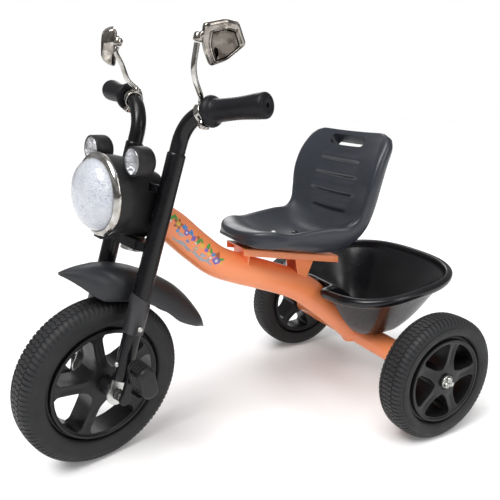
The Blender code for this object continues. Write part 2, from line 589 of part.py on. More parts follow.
def housing_rings(shrink, seg):
    """A round mouth for the bezel that turns into a squarer box between the fork legs."""
    to_steering = Matrix.Translation(LAMP_CENTRE) @ Matrix.Rotation(LAMP_ROT[0], 4, "X")
    rings = []
    for depth, r in ((0.0, BEZEL_R - 0.0035), (-0.0100, BEZEL_R - 0.0030), (-0.0200, BEZEL_R - 0.0038)):
        rings.append([to_steering @ Vector(((r - shrink) * math.cos(2 * math.pi * k / seg), (r - shrink) * math.sin(2 * math.pi * k / seg), depth)) for k in range(seg)])
    for fwd, lean, half, low, high, power in HOUSING_ROWS:
        ring = []
        for k in range(seg):
            c, q = math.cos(2 * math.pi * k / seg), math.sin(2 * math.pi * k / seg)
            m = (abs(c) ** power + abs(q) ** power) ** (-1 / power)
            z = (low + high) / 2 + ((high - low) / 2 - shrink) * q * m
            ring.append(Vector(((half - shrink) * c * m, -fwd - lean * (z - 0.268), z)))
        rings.append(ring)
    return rings


outer, inner = housing_rings(0.0, 24), housing_rings(0.0022, 24)
housing = solid("headlight_housing", rings_to_faces(bmesh.new(), outer + inner[::-1], True, False), BLACK_PLASTIC, steering, angle=40)
cut(housing, solid("housing_slot", prism([(-0.0215, 0.2855), (0.0300, 0.2855), (0.0300, 0.2965), (-0.0215, 0.2965)], -0.06, 0.06, "X"), None, steering, cutter=True))
cut(housing, solid("housing_well", lathe([(0, 0.20), (0.0192, 0.20), (0.0192, 0.2600), (0, 0.2600)], 16), None, steering, cutter=True))
bez = [(BEZEL_R - 0.0030, 0.0003), (BEZEL_R, 0.0006), (BEZEL_R + 0.0002, 0.0040), (BEZEL_R - 0.0040, 0.0085), (LENS_R + 0.0004, 0.0085), (LENS_R + 0.0004, 0.0003)]
solid("headlight_bezel", lathe(bez, 24, closed=True), CHROME, lamp, angle=40)
refl_out = [(LENS_R - 0.0010, 0.0010), (0.0330, -0.0200), (0.0120, -0.0310), (0.0, -0.0320)]
refl_in = [(LENS_R - 0.0030, 0.0010), (0.0310, -0.0190), (0.0110, -0.0290), (0.0, -0.0300)]
solid("headlight_reflector", lathe(refl_out[::-1] + refl_in, 20), CHROME, lamp, angle=40)
dome_out = [(LENS_R * math.cos(w), 0.0075 + LENS_DOME * math.sin(w)) for w in np.linspace(0, math.pi / 2, 5)]
dome_in = [((LENS_R - 0.0025) * math.cos(w), 0.0075 + (LENS_DOME - 0.0025) * math.sin(w)) for w in np.linspace(0, math.pi / 2, 5)]
dome_out = [(LENS_R, 0.0014)] + dome_out[:-1] + [(0.0, dome_out[-1][1])]
dome_in = [(LENS_R - 0.0025, 0.0014)] + dome_in[:-1] + [(0.0, dome_in[-1][1])]
solid("headlight_lens", lathe(dome_out[::-1] + dome_in, 20), CLEAR, lamp, angle=50)
clip = [(-BEZEL_R - 0.0065, -0.0120), (-BEZEL_R - 0.0065, 0.0080), (-BEZEL_R - 0.0045, 0.0100), (-BEZEL_R - 0.0008, 0.0100), (-BEZEL_R - 0.0008, -0.0006), (-BEZEL_R + 0.0045, -0.0006), (-BEZEL_R + 0.0045, -0.0120)]
cut(housing, solid("housing_clip", prism(clip, -0.0075, 0.0075, "X"), None, lamp, cutter=True), "UNION")

SPOT_C = (-0.0651, 0.3185)
spot_offset_up = (SPOT_C[1] - LAMP_CENTRE[2]) * math.cos(LAMP_PITCH) - (SPOT_C[0] - LAMP_CENTRE[1]) * math.sin(LAMP_PITCH)
spot_offset_fwd = -(SPOT_C[0] - LAMP_CENTRE[1]) * math.cos(LAMP_PITCH) - (SPOT_C[1] - LAMP_CENTRE[2]) * math.sin(LAMP_PITCH)
for sign, side in SIDES:
    spot = empty("spot_%s_datum" % side, lamp, (sign * SPOT_X, spot_offset_up, spot_offset_fwd + 0.0005))
    outp = [(SPOT_R, 0.0), (SPOT_R + 0.0005, -0.0225), (0.0150, -0.0275), (0.0, -0.0280)]
    inp = [(SPOT_R - 0.0018, 0.0), (SPOT_R - 0.0020, -0.0215), (0.0140, -0.0255), (0.0, -0.0260)]
    barrel = solid("spot_barrel_" + side, lathe(outp[::-1] + inp, 18), BLACK_PLASTIC, spot, angle=40)
    sl = [(0.0, 0.0040), (0.0090, 0.0030), (SPOT_R - 0.0024, 0.0002), (SPOT_R - 0.0024, -0.0030), (0.0, -0.0030)]
    solid("spot_lens_" + side, lathe(sl, 16), CLEAR, spot, angle=40)

# ---------------------------------------------------------------- front fender
FENDER_ANGLES = (57.0, 69.0, 80.0, 96.0, 109.0, 121.0, 135.0, 146.0, 153.0)
FENDER_RIDGE = (0.1855, 0.1807, 0.1770, 0.1725, 0.1722, 0.1755, 0.1805, 0.1870, 0.1905)
FENDER_EDGE = (0.1830, 0.1420, 0.1330, 0.1325, 0.1335, 0.1360, 0.1430, 0.1640, 0.1880)
FENDER_HALF = (0.0040, 0.0285, 0.0335, 0.0338, 0.0338, 0.0338, 0.0325, 0.0260, 0.0110)


def fender_mesh(along, across):
    """An arched sheet: each cross-section runs from skirt to ridge to skirt."""
    bm = bmesh.new()
    rows = []
    for i in range(along + 1):
        s = i / along
        ang = FENDER_ANGLES[0] + (FENDER_ANGLES[-1] - FENDER_ANGLES[0]) * s
        ridge = lerp_table(ang, FENDER_ANGLES, FENDER_RIDGE)
        edge = lerp_table(ang, FENDER_ANGLES, FENDER_EDGE)
        half = lerp_table(ang, FENDER_ANGLES, FENDER_HALF)
        a = math.radians(ang)
        row = []
        for j in range(across + 1):
            t = -1 + 2 * j / across
            x = half * math.sin(t * math.pi / 2)
            r = edge + (ridge - edge) * max(math.cos(t * math.pi / 2), 0.0) ** 0.62
            row.append(bm.verts.new((x, -r * math.cos(a), r * math.sin(a))))
        rows.append(row)
    for a, b in zip(rows, rows[1:]):
        for j in range(across):
            bm.faces.new((a[j], a[j + 1], b[j + 1], b[j]))
    return bm


fender = solid("front_fender", fender_mesh(12, 8), GREY_PLASTIC, steering, angle=50)
skin = fender.modifiers.new("thickness", "SOLIDIFY")
skin.thickness = 0.0024
skin.offset = -1.0
skin.use_even_offset = True
skin.use_quality_normals = True
for sign, side in SIDES:
    n = 16
    rings = []
    for r, flip in ((LEG_R + 0.0004, 1), (LEG_R + 0.0028, -1)):
        lower, upper = [], []
        for k in range(n):
            a = 2 * math.pi * k / n
            x, y = r * math.cos(a), r * math.sin(a)
            lower.append(Vector((sign * LEG_X + x, y, 0.0910)))
            upper.append(Vector((sign * LEG_X + x, y, 0.1400 - 0.50 * y)))
        rings += [lower, upper][::flip]
    sleeve = solid("fender_sleeve_" + side, rings_to_faces(bmesh.new(), rings, True, False), None, steering, cutter=True)
    x0, x1 = sorted((sign * 0.0322, sign * 0.0372))
    tie = prism([(-0.0060, 0.1335), (0.0060, 0.1335), (0.0060, 0.1368), (-0.0060, 0.1395)], x0, x1, "X")
    cut(sleeve, solid("sleeve_tie_" + side, tie, None, steering, cutter=True), "UNION")
    cut(sleeve, bpy.data.objects["leg_rivet_hole_" + side])
    cut(fender, sleeve, "UNION")

# ---------------------------------------------------------------- frame tubes
for low, s, place in ((HEAD_LOW, -1, "lower"), (HEAD_HIGH, 1, "upper")):
    ring = [(STEM_R + GAP, low + s * 0.0034), (0.0160, low + s * 0.0034), (0.0160, low + s * GAP), (0.0143, low + s * GAP), (0.0143, low - s * 0.0120), (STEM_R + GAP, low - s * 0.0120)]
    solid("head_bush_" + place, lathe(ring, 16, closed=True), NYLON, rake)

start_y, start_z = head_to_frame(0.003, 0.2530)
MAIN_POINTS = [(0, start_y, start_z), (0, -0.138, 0.3535), (0, -0.112, 0.3360), (0, -0.078, 0.303), (0, -0.044, 0.274), (0, -0.006, 0.256), (0, 0.040, 0.238), (0, 0.085, 0.219), (0, 0.118, 0.200), (0, 0.158, 0.168), (0, 0.198, 0.133), (0, REAR_Y - 0.006, REAR_R + 0.004)]
main = solid("frame_tube", pipe(smooth_path(MAIN_POINTS, 13), MAIN_R, MAIN_WALL, 16), ORANGE, datum, angle=45)
cut(main, solid("main_cope_front", lathe([(0, 0.18), (HEAD_R - 0.0009, 0.18), (HEAD_R - 0.0009, 0.34), (0, 0.34)], 16), None, rake, cutter=True))
cut(main, solid("head_tube", pipe([(0, 0, HEAD_LOW), (0, 0, HEAD_HIGH)], HEAD_R, 0.0018, 16), None, rake, cutter=True), "UNION")
cut(main, solid("main_cope_rear", lathe([(0, -0.1), (BEAM_R + GAP, -0.1), (BEAM_R + GAP, 0.1), (0, 0.1)], 20, axis="X", offset=(0, REAR_Y, REAR_R)), None, datum, cutter=True))

beam = solid("rear_beam", pipe([(-BEAM_HALF, REAR_Y, REAR_R), (BEAM_HALF, REAR_Y, REAR_R)], BEAM_R, 0.0018, 20, start=(0, 1, 0)), ORANGE, datum)
for sign, side in SIDES:
    e = BEAM_HALF
    ring = [(AXLE_R + GAP, e - 0.018), (0.0175, e - 0.018), (0.0175, e + GAP), (0.0192, e + GAP), (0.0192, e + 0.0024), (0.0105, e + 0.0030), (0.0105, e + 0.0051), (AXLE_R + GAP, e + 0.0051)]
    solid("beam_plug_" + side, lathe([(r, sign * h) for r, h in ring], 18, closed=True, axis="X", offset=(0, REAR_Y, REAR_R)), BLACK_PLASTIC, datum)
AXLE_END = REAR_TRACK + 0.0285
solid("rear_axle", lathe([(0, -AXLE_END), (AXLE_R, -AXLE_END), (AXLE_R, AXLE_END), (0, AXLE_END)], 14, axis="X", offset=(0, REAR_Y, REAR_R)), STEEL, datum)
for sign, side in SIDES:
    base = 0.0238
    cap = [(AXLE_R + GAP, base), (0.0100, base), (0.0104, base + 0.0016), (0.0075, base + 0.0050), (0.0062, base + 0.0076), (0.0, base + 0.0084), (0.0, base + 0.0054), (AXLE_R + GAP, base + 0.0054)]
    solid("axle_cap_" + side, lathe([(r, sign * h) for r, h in cap], 16, axis="X", closed=True), STEEL, wheel_left if sign > 0 else wheel_right)

# ---------------------------------------------------------------- seat bracket
PLATE_FRONT = (-0.010, 0.2962)      # (y, z) of the plate's upper face, in the middle plane
PLATE_REAR = (0.167, 0.2592)
PLATE_SLOPE = (PLATE_REAR[1] - PLATE_FRONT[1]) / (PLATE_REAR[0] - PLATE_FRONT[0])


def plate_z(y):
    return PLATE_FRONT[1] + PLATE_SLOPE * (y - PLATE_FRONT[0])


BRACKET_HALF = 0.0300
section = [(-BRACKET_HALF, -0.0120), (-BRACKET_HALF, 0.0), (BRACKET_HALF, 0.0), (BRACKET_HALF, -0.0120), (BRACKET_HALF - 0.0022, -0.0120), (BRACKET_HALF - 0.0022, -0.0022), (-BRACKET_HALF + 0.0022, -0.0022), (-BRACKET_HALF + 0.0022, -0.0120)]
bm = bmesh.new()
rings = [[Vector((x, y, plate_z(y) + z)) for x, z in section] for y in (PLATE_FRONT[0], PLATE_REAR[0])]
rings_to_faces(bm, rings, False, True)
bracket = solid("seat_bracket", bm, ORANGE, datum, angle=30)


def tube_z(y):
    return lerp_table(y, [q[1] for q in MAIN_POINTS], [q[2] for q in MAIN_POINTS])


# webs and cheeks under the plate stand on the tube
for k, (y0, y1) in enumerate(((0.0000, 0.0026), (0.1220, 0.1246))):
    depth = plate_z(y0) - tube_z(y0) - 0.005
    shape = [(-BRACKET_HALF + 0.0012, 0.0), (BRACKET_HALF - 0.0012, 0.0), (0.0190, -depth), (-0.0190, -depth)]
    if k:
        shape = [(-BRACKET_HALF + 0.0012, 0.0), (BRACKET_HALF - 0.0012, 0.0), (BRACKET_HALF - 0.0012, -0.0100), (-BRACKET_HALF + 0.0012, -0.0100)]
    rings = [[Vector((x, y, plate_z(y) - 0.0012 + z)) for x, z in shape] for y in (y0, y1)]
    cut(bracket, solid("web_%d" % k, rings_to_faces(bmesh.new(), rings, False, True), None, datum, cutter=True), "UNION")
for sign, side in SIDES:
    cheek = [(0.0900, plate_z(0.0900) - 0.0012), (0.0985, tube_z(0.0985) + 0.004), (0.1065, tube_z(0.1065) + 0.004), (0.1320, plate_z(0.1320) - 0.0012)]
    x0, x1 = sorted((sign * 0.0140, sign * 0.0164))
    cut(bracket, solid("cheek_" + side, prism(cheek, x0, x1, "X"), None, datum, cutter=True), "UNION")
cut(bracket, solid("bracket_saddle", pipe(smooth_path(MAIN_POINTS, 13), MAIN_R + GAP, 0, 16), None, datum, cutter=True))

# ---------------------------------------------------------------- seat
SEAT_ROWS = (
    # inner surface in the middle (y, z), rim half width, rim (y, z), depth of the moulding below the inner surface
    ((-0.0170, 0.3045), 0.0420, (-0.0125, 0.3020), 0.0075),
    ((-0.0192, 0.3150), 0.0555, (-0.0115, 0.3105), 0.0110),
    ((-0.0135, 0.3240), 0.0640, (-0.0040, 0.3170), 0.0140),
    ((0.0060, 0.3245), 0.0710, (0.0150, 0.3185), 0.0165),
    ((0.0340, 0.3110), 0.0772, (0.0430, 0.3190), 0.0180),
    ((0.0700, 0.3002), 0.0835, (0.0790, 0.3285), 0.0175),
    ((0.1050, 0.2975), 0.0885, (0.1110, 0.3300), 0.0210),
    ((0.1340, 0.3010), 0.0930, (0.1360, 0.3300), 0.0225),
    ((0.1570, 0.3180), 0.0980, (0.1500, 0.3400), 0.0210),
    ((0.1700, 0.3470), 0.1030, (0.1560, 0.3600), 0.0200),
    ((0.1790, 0.3830), 0.1065, (0.1620, 0.3920), 0.0200),
    ((0.1880, 0.4150), 0.1055, (0.1740, 0.4230), 0.0200),
    ((0.1985, 0.4400), 0.1010, (0.1900, 0.4460), 0.0190),
    ((0.2060, 0.4535), 0.0950, (0.2005, 0.4580), 0.0150),
    ((0.2100, 0.4592), 0.0850, (0.2060, 0.4622), 0.0090),
)


def seat_loops(shrink):
    """Closed sections of the seat: across the inner surface, then back under the outer one."""
    loops = []
    rows = SEAT_ROWS[3:] if shrink else SEAT_ROWS
    for i, (mid, half, edge, deep) in enumerate(rows):
        a = np.array(rows[max(i - 1, 0)][0])
        b = np.array(rows[min(i + 1, len(rows) - 1)][0])
        t = (b - a) / np.linalg.norm(b - a)
        outward = np.array((t[1], -t[0]))
        if shrink:
            if i == 0 or i == len(rows) - 1:
                mid_p = np.array(mid) + t * shrink * (1 if i == 0 else -1)
            else:
                mid_p = np.array(mid)
        else:
            mid_p = np.array(mid)
        mid_p = mid_p + outward * shrink
        edge_p = np.array(edge) + outward * shrink
        w = half - shrink
        d = max(deep - 2 * shrink, 0.0012)
        loop = []
        for x_part in (-1.0, -0.72, -0.36, 0.0, 0.36, 0.72, 1.0):
            f = abs(x_part) ** 2.4
            p = mid_p + (edge_p - mid_p) * f
            loop.append(Vector((w * x_part, p[0], p[1])))
        edge_low = edge_p + outward * d * 0.70
        under = mid_p + outward * d
        for x_part, f in ((1.055, 0.50), (0.93, 1.0), (0.60, 1.0), (0.0, 1.0), (-0.60, 1.0), (-0.93, 1.0), (-1.055, 0.50)):
            share = abs(x_part) ** 3
            if f < 1.0:
                p = edge_low
            else:
                q = mid_p + (edge_p - mid_p) * min(share, 1.0) * 0.36
                p = q + outward * d
            loop.append(Vector((w * x_part, p[0], p[1])))
        loops.append(loop)
    return loops


seat = solid("seat_shell", loft(seat_loops(0.0)), GREY_PLASTIC, datum, angle=50)
pad = [(0.0050, plate_z(0.0050) + GAP), (0.1250, plate_z(0.1250) + GAP), (0.1250, 0.2830), (0.0900, 0.2840), (0.0350, 0.2970), (0.0050, 0.3100)]
cut(seat, solid("seat_pad", prism(pad, -0.0285, 0.0285, "X"), None, datum, cutter=True), "UNION")
cavity = solid("seat_cavity", loft(seat_loops(SEAT_WALL)), None, datum, cutter=True)


def slot_cutter(name, grow):
    half_w, half_h = 0.0450 + grow, 0.0085 + grow
    outline = [(half_w - half_h + a, b) for a, b in arc(0, 0, half_h, -90, 90, 7)] + [(-half_w + half_h + a, b) for a, b in arc(0, 0, half_h, 90, 270, 7)]
    bm = prism(outline, -0.040, 0.040, "Z")
    return solid(name, bm, None, datum, loc=(0, 0.2060, 0.4395), rot=(math.radians(72), 0, 0), cutter=True)


slot_small = slot_cutter("seat_slot", 0.0)
slot_large = slot_cutter("seat_slot_wall", SEAT_WALL)
cut(cavity, slot_large)
cut(seat, slot_small)
cut(seat, cavity)
for y, place in ((0.0600, "front"), (0.1000, "rear")):
    hole = solid("bolt_hole_" + place, lathe([(0, 0.20), (0.0034, 0.20), (0.0034, 0.36), (0, 0.36)], 10, offset=(0, y, 0)), None, datum, cutter=True)
    cut(seat, hole)
    cut(bracket, hole)
    z_top = lerp_table(y, [r[0][0] for r in SEAT_ROWS[:8]], [r[0][1] for r in SEAT_ROWS[:8]]) + 0.0026
    low = plate_z(y) - 0.0038
    bolt = [(0, z_top + 0.0026), (0.0046, z_top + 0.0018), (0.0056, z_top), (0.0031, z_top), (0.0031, low), (0.0056, low), (0.0056, low - 0.0045), (0.0031, low - 0.0045), (0.0031, low - 0.0080), (0, low - 0.0080)]
    solid("seat_bolt_" + place, lathe(bolt, 12, offset=(0, y, 0)), STEEL, datum)

# ---------------------------------------------------------------- basket
NOTCH_HALF = 0.0320


def tube_top_y(z):
    """Where the main tube's upper side passes height z."""
    line = np.array(smooth_path(MAIN_POINTS, 60))[:, 1:]
    run = np.gradient(line, axis=0)
    run /= np.linalg.norm(run, axis=1)[:, None]
    top = line + np.stack([-run[:, 1], run[:, 0]], axis=1) * MAIN_R
    return float(np.interp(-z, -top[:, 1], top[:, 0]))


def plan_curve(t, z, grow=0.0, count=11):
    """The tub's outline at height z: t runs from the floor's size (0) to the rim's (1)."""
    _, cy, half_w, half_l = [f + (r - f) * t for f, r in zip(BASKET_FLOOR, BASKET_RIM)]
    half_w, half_l = half_w + grow, half_l + grow
    w = NOTCH_HALF + 0.0060 * t - grow
    back = tube_top_y(z - 0.0110 * t) + 0.0060 + 0.0060 * t - grow
    squareness = 5.0 - 1.9 * t

    def edge(a):
        c, s = math.cos(a), math.sin(a)
        power = squareness if s < 0 else 2.6
        r = (abs(c) ** power + abs(s) ** power) ** (-1 / power)
        return half_w * c * r, cy + half_l * s * r

    front = cy - half_l
    side = [(w * 0.5, back), (w - 0.006, back), (w, back - 0.006), (w, (back + front) / 2), (w, front + 0.008), (w + 0.003, front + 0.003), (w + 0.009, front + 0.0008)]
    first = -math.atan2(1.0, (w + 0.014) / half_w)
    side += [edge(first + (math.pi / 2 - first) * (k / count) ** 0.95) for k in range(count)]
    return [(0.0, back)] + side + [edge(math.pi / 2)] + [(-x, y) for x, y in reversed(side)]


def basket_rings():
    floor, rise = BASKET_FLOOR[0], BASKET_RIM[0] - BASKET_FLOOR[0]
    levels = []
    for h in (0.0, 0.20, 0.45, 0.72, 1.0):
        levels.append((h, h + 0.2141 * h * (1 - h) + 0.2785 * h * (1 - h) * (1 - 2 * h)))
    rings = []

    def ring(t, z, grow):
        tilt = BASKET_TILT * t / (BASKET_RIM[3] + 0.009)
        return [Vector((x, y, z + tilt * (y - BASKET_RIM[1]))) for x, y in plan_curve(t, z, grow)]

    for h, t in levels:
        rings.append(ring(t, floor + rise * h, 0.0))
    for lift, grow in ((0.0004, 0.0062), (0.0012, 0.0090), (0.0070, 0.0090), (0.0108, 0.0060), (0.0110, 0.0006)):
        rings.append(ring(1.0, BASKET_RIM[0] + lift, grow))
    for h, t in reversed(levels):
        rings.append(ring(t, floor + rise * h + (BASKET_WALL if h == 0 else 0.0006), -BASKET_WALL))
    return rings


basket = solid("basket", rings_to_faces(bmesh.new(), basket_rings(), False, True), BASKET_PLASTIC, datum, angle=40)
# pegs under the floor sit in holes of the beam
for sign, side in SIDES:
    peg = solid("basket_peg_" + side, lathe([(0, 0.1120), (0.0027, 0.1120), (0.0027, 0.1205), (0, 0.1205)], 10, offset=(sign * 0.052, REAR_Y, 0)), None, datum, cutter=True)
    cut(basket, peg, "UNION")
    cut(beam, solid("beam_hole_" + side, lathe([(0, 0.108), (0.0030, 0.108), (0.0030, 0.13), (0, 0.13)], 10, offset=(sign * 0.052, REAR_Y, 0)), None, datum, cutter=True))
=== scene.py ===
"""Looks of the children's tricycle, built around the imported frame. Metres, +Z up, the rider faces -Y."""

import math

import bmesh
import bpy
import numpy as np
from mathutils import Matrix, Vector


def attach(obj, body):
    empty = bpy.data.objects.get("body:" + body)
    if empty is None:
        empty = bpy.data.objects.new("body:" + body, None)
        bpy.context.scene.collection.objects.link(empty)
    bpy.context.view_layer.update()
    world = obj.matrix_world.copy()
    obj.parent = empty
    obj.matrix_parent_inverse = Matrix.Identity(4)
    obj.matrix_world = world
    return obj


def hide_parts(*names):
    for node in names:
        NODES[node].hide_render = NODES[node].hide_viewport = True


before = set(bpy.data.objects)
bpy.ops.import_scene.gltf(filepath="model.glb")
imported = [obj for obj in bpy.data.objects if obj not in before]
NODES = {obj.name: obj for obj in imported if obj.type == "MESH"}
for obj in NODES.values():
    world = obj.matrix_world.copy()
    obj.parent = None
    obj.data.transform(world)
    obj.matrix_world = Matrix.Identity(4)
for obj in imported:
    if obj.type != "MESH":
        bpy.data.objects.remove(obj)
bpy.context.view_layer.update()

# ---------------------------------------------------------------- shared dimensions, as in the CAD
GAP = 0.0003
SHIFT = Vector((0.0, -0.0080, 0.0))
STEER, RAKE = math.radians(14.8), math.radians(17.5)
FRONT_Y, REAR_Y, FRONT_Z = -0.235, 0.235, 0.124047
FRONT_R, FRONT_W, FRONT_BEAD = 0.1240, 0.0507, 0.0890
REAR_R, REAR_W, REAR_BEAD, REAR_TRACK = 0.0989, 0.0489, 0.0710, 0.1964
AXLE_R = 0.005
LEG_X, LEG_R, LEG_WALL, LEG_BOTTOM, LEG_TOP = 0.0514, 0.0127, 0.0015, 0.022, 0.343
BOLT_Z, RIVET_Z = 0.0445, 0.1010
BAR_R, BAR_WALL, BAR_BEND_Z, BAR_BEND_R, BAR_SWEEP, GRIP_END_X = 0.0108, 0.0014, 0.3555, 0.050, 0.15, 0.1785
GRIP_RISE = {1: 0.24, -1: 0.10}
HEAD_LOW, HEAD_HIGH, HEAD_R = 0.2197, 0.2822, 0.0165
STEM_R = 0.0095
MAIN_R, MAIN_WALL, BEAM_R, BEAM_HALF = 0.0245, 0.0016, 0.0200, 0.1675
LAMP_CENTRE, LAMP_PITCH = (0.0, -0.0669, 0.2653), 0.2236
BEZEL_R, LENS_R, LENS_DOME, SPOT_X, SPOT_R = 0.0557, 0.0475, 0.0247, 0.0520, 0.0191
MIRROR_TURN = {1: math.radians(4.0), -1: math.radians(75.0)}
MIRROR_W, MIRROR_H, MIRROR_D = 0.0630, 0.0555, 0.0220
MIRROR_OUT = {1: 0.0060, -1: -0.0010}
BASKET_FLOOR, BASKET_RIM = (0.1195, 0.2452, 0.0688, 0.0483), (0.2109, 0.2503, 0.1389, 0.1148)
BASKET_TILT, BASKET_WALL = 0.0137, 0.0026
SIDES = ((1, "left"), (-1, "right"))

DATUM = Matrix.Translation(SHIFT)
HEAD = DATUM @ Matrix.Translation((0, FRONT_Y, FRONT_Z)) @ Matrix.Rotation(-RAKE, 4, "X")
STEERING = HEAD @ Matrix.Rotation(STEER, 4, "Z")
LAMP = STEERING @ Matrix.Translation(LAMP_CENTRE) @ Matrix.Rotation(math.pi / 2 + LAMP_PITCH, 4, "X")
WHEEL = {1: DATUM @ Matrix.Translation((REAR_TRACK, REAR_Y, REAR_R)), -1: DATUM @ Matrix.Translation((-REAR_TRACK, REAR_Y, REAR_R))}


# ---------------------------------------------------------------- materials
class Shader:
    """A Principled material with its own procedural colour variation, roughness variation and bump."""

    def __init__(self, name, rgb, rough, metal=0.0, coat=0.0, coat_rough=0.08, spec=0.5, ior=1.5, alpha=1.0, transmission=0.0):
        self.mat = bpy.data.materials.new(name)
        self.mat.use_nodes = True
        self.tree = self.mat.node_tree
        self.bsdf = self.tree.nodes["Principled BSDF"]
        self.rgb, self.rough = rgb, rough
        for key, value in (("Base Color", (*rgb, 1.0)), ("Roughness", rough), ("Metallic", metal), ("Coat Weight", coat), ("Coat Roughness", coat_rough),
                           ("Specular IOR Level", spec), ("IOR", ior), ("Alpha", alpha), ("Transmission Weight", transmission)):
            self.bsdf.inputs[key].default_value = value
        self.coord = self.tree.nodes.new("ShaderNodeTexCoord").outputs["Object"]
        self.height = None
        self.colour = None

    def node(self, kind, **values):
        n = self.tree.nodes.new(kind)
        for key, value in values.items():
            if key in n.inputs:
                n.inputs[key].default_value = value
            else:
                setattr(n, key, value)
        return n

    def link(self, a, b):
        self.tree.links.new(a, b)

    def noise(self, scale, detail=3.0, rough=0.55, stretch=None, distortion=0.0):
        n = self.node("ShaderNodeTexNoise", Scale=scale, Detail=detail, Roughness=rough, Distortion=distortion)
        if stretch:
            m = self.node("ShaderNodeMapping", Scale=stretch)
            self.link(self.coord, m.inputs["Vector"])
            self.link(m.outputs["Vector"], n.inputs["Vector"])
        else:
            self.link(self.coord, n.inputs["Vector"])
        return n.outputs["Fac"]

    def voronoi(self, scale, feature="F1"):
        n = self.node("ShaderNodeTexVoronoi", Scale=scale, feature=feature)
        self.link(self.coord, n.inputs["Vector"])
        return n

    def remap(self, value, low, high, out_low, out_high):
        n = self.node("ShaderNodeMapRange")
        n.clamp = True
        for key, v in (("From Min", low), ("From Max", high), ("To Min", out_low), ("To Max", out_high)):
            n.inputs[key].default_value = v
        self.link(value, n.inputs["Value"])
        return n.outputs["Result"]

    def tint(self, fac, rgb, amount=1.0):
        """Mixes a second colour over the base by a factor."""
        n = self.node("ShaderNodeMix", data_type="RGBA")
        if self.colour is None:
            n.inputs["A"].default_value = (*self.rgb, 1.0)
            n.inputs[6].default_value = (*self.rgb, 1.0)
        else:
            self.link(self.colour, n.inputs[6])
        n.inputs[7].default_value = (*rgb, 1.0)
        if amount != 1.0:
            fac = self.remap(fac, 0.0, 1.0, 0.0, amount)
        self.link(fac, n.inputs[0])
        self.colour = n.outputs[2]
        return self

    def roughen(self, fac, low, high):
        self.link(self.remap(fac, 0.3, 0.7, low, high), self.bsdf.inputs["Roughness"])
        return self

    def bump(self, fac, strength, distance=0.0004):
        n = self.node("ShaderNodeBump", Strength=strength, Distance=distance)
        self.link(fac, n.inputs["Height"])
        if self.height is not None:
            self.link(self.height, n.inputs["Normal"])
        self.height = n.outputs["Normal"]
        return self

    def edges(self, low, high):
        """Painted edge highlight: 0 on flats, 1 on convex edges."""
        g = self.node("ShaderNodeNewGeometry")
        return self.remap(g.outputs["Pointiness"], low, high, 0.0, 1.0)

    def done(self):
        if self.colour is not None:
            self.link(self.colour, self.bsdf.inputs["Base Color"])
        if self.height is not None:
            self.link(self.height, self.bsdf.inputs["Normal"])
            self.link(self.height, self.bsdf.inputs["Coat Normal"])
        return self.mat


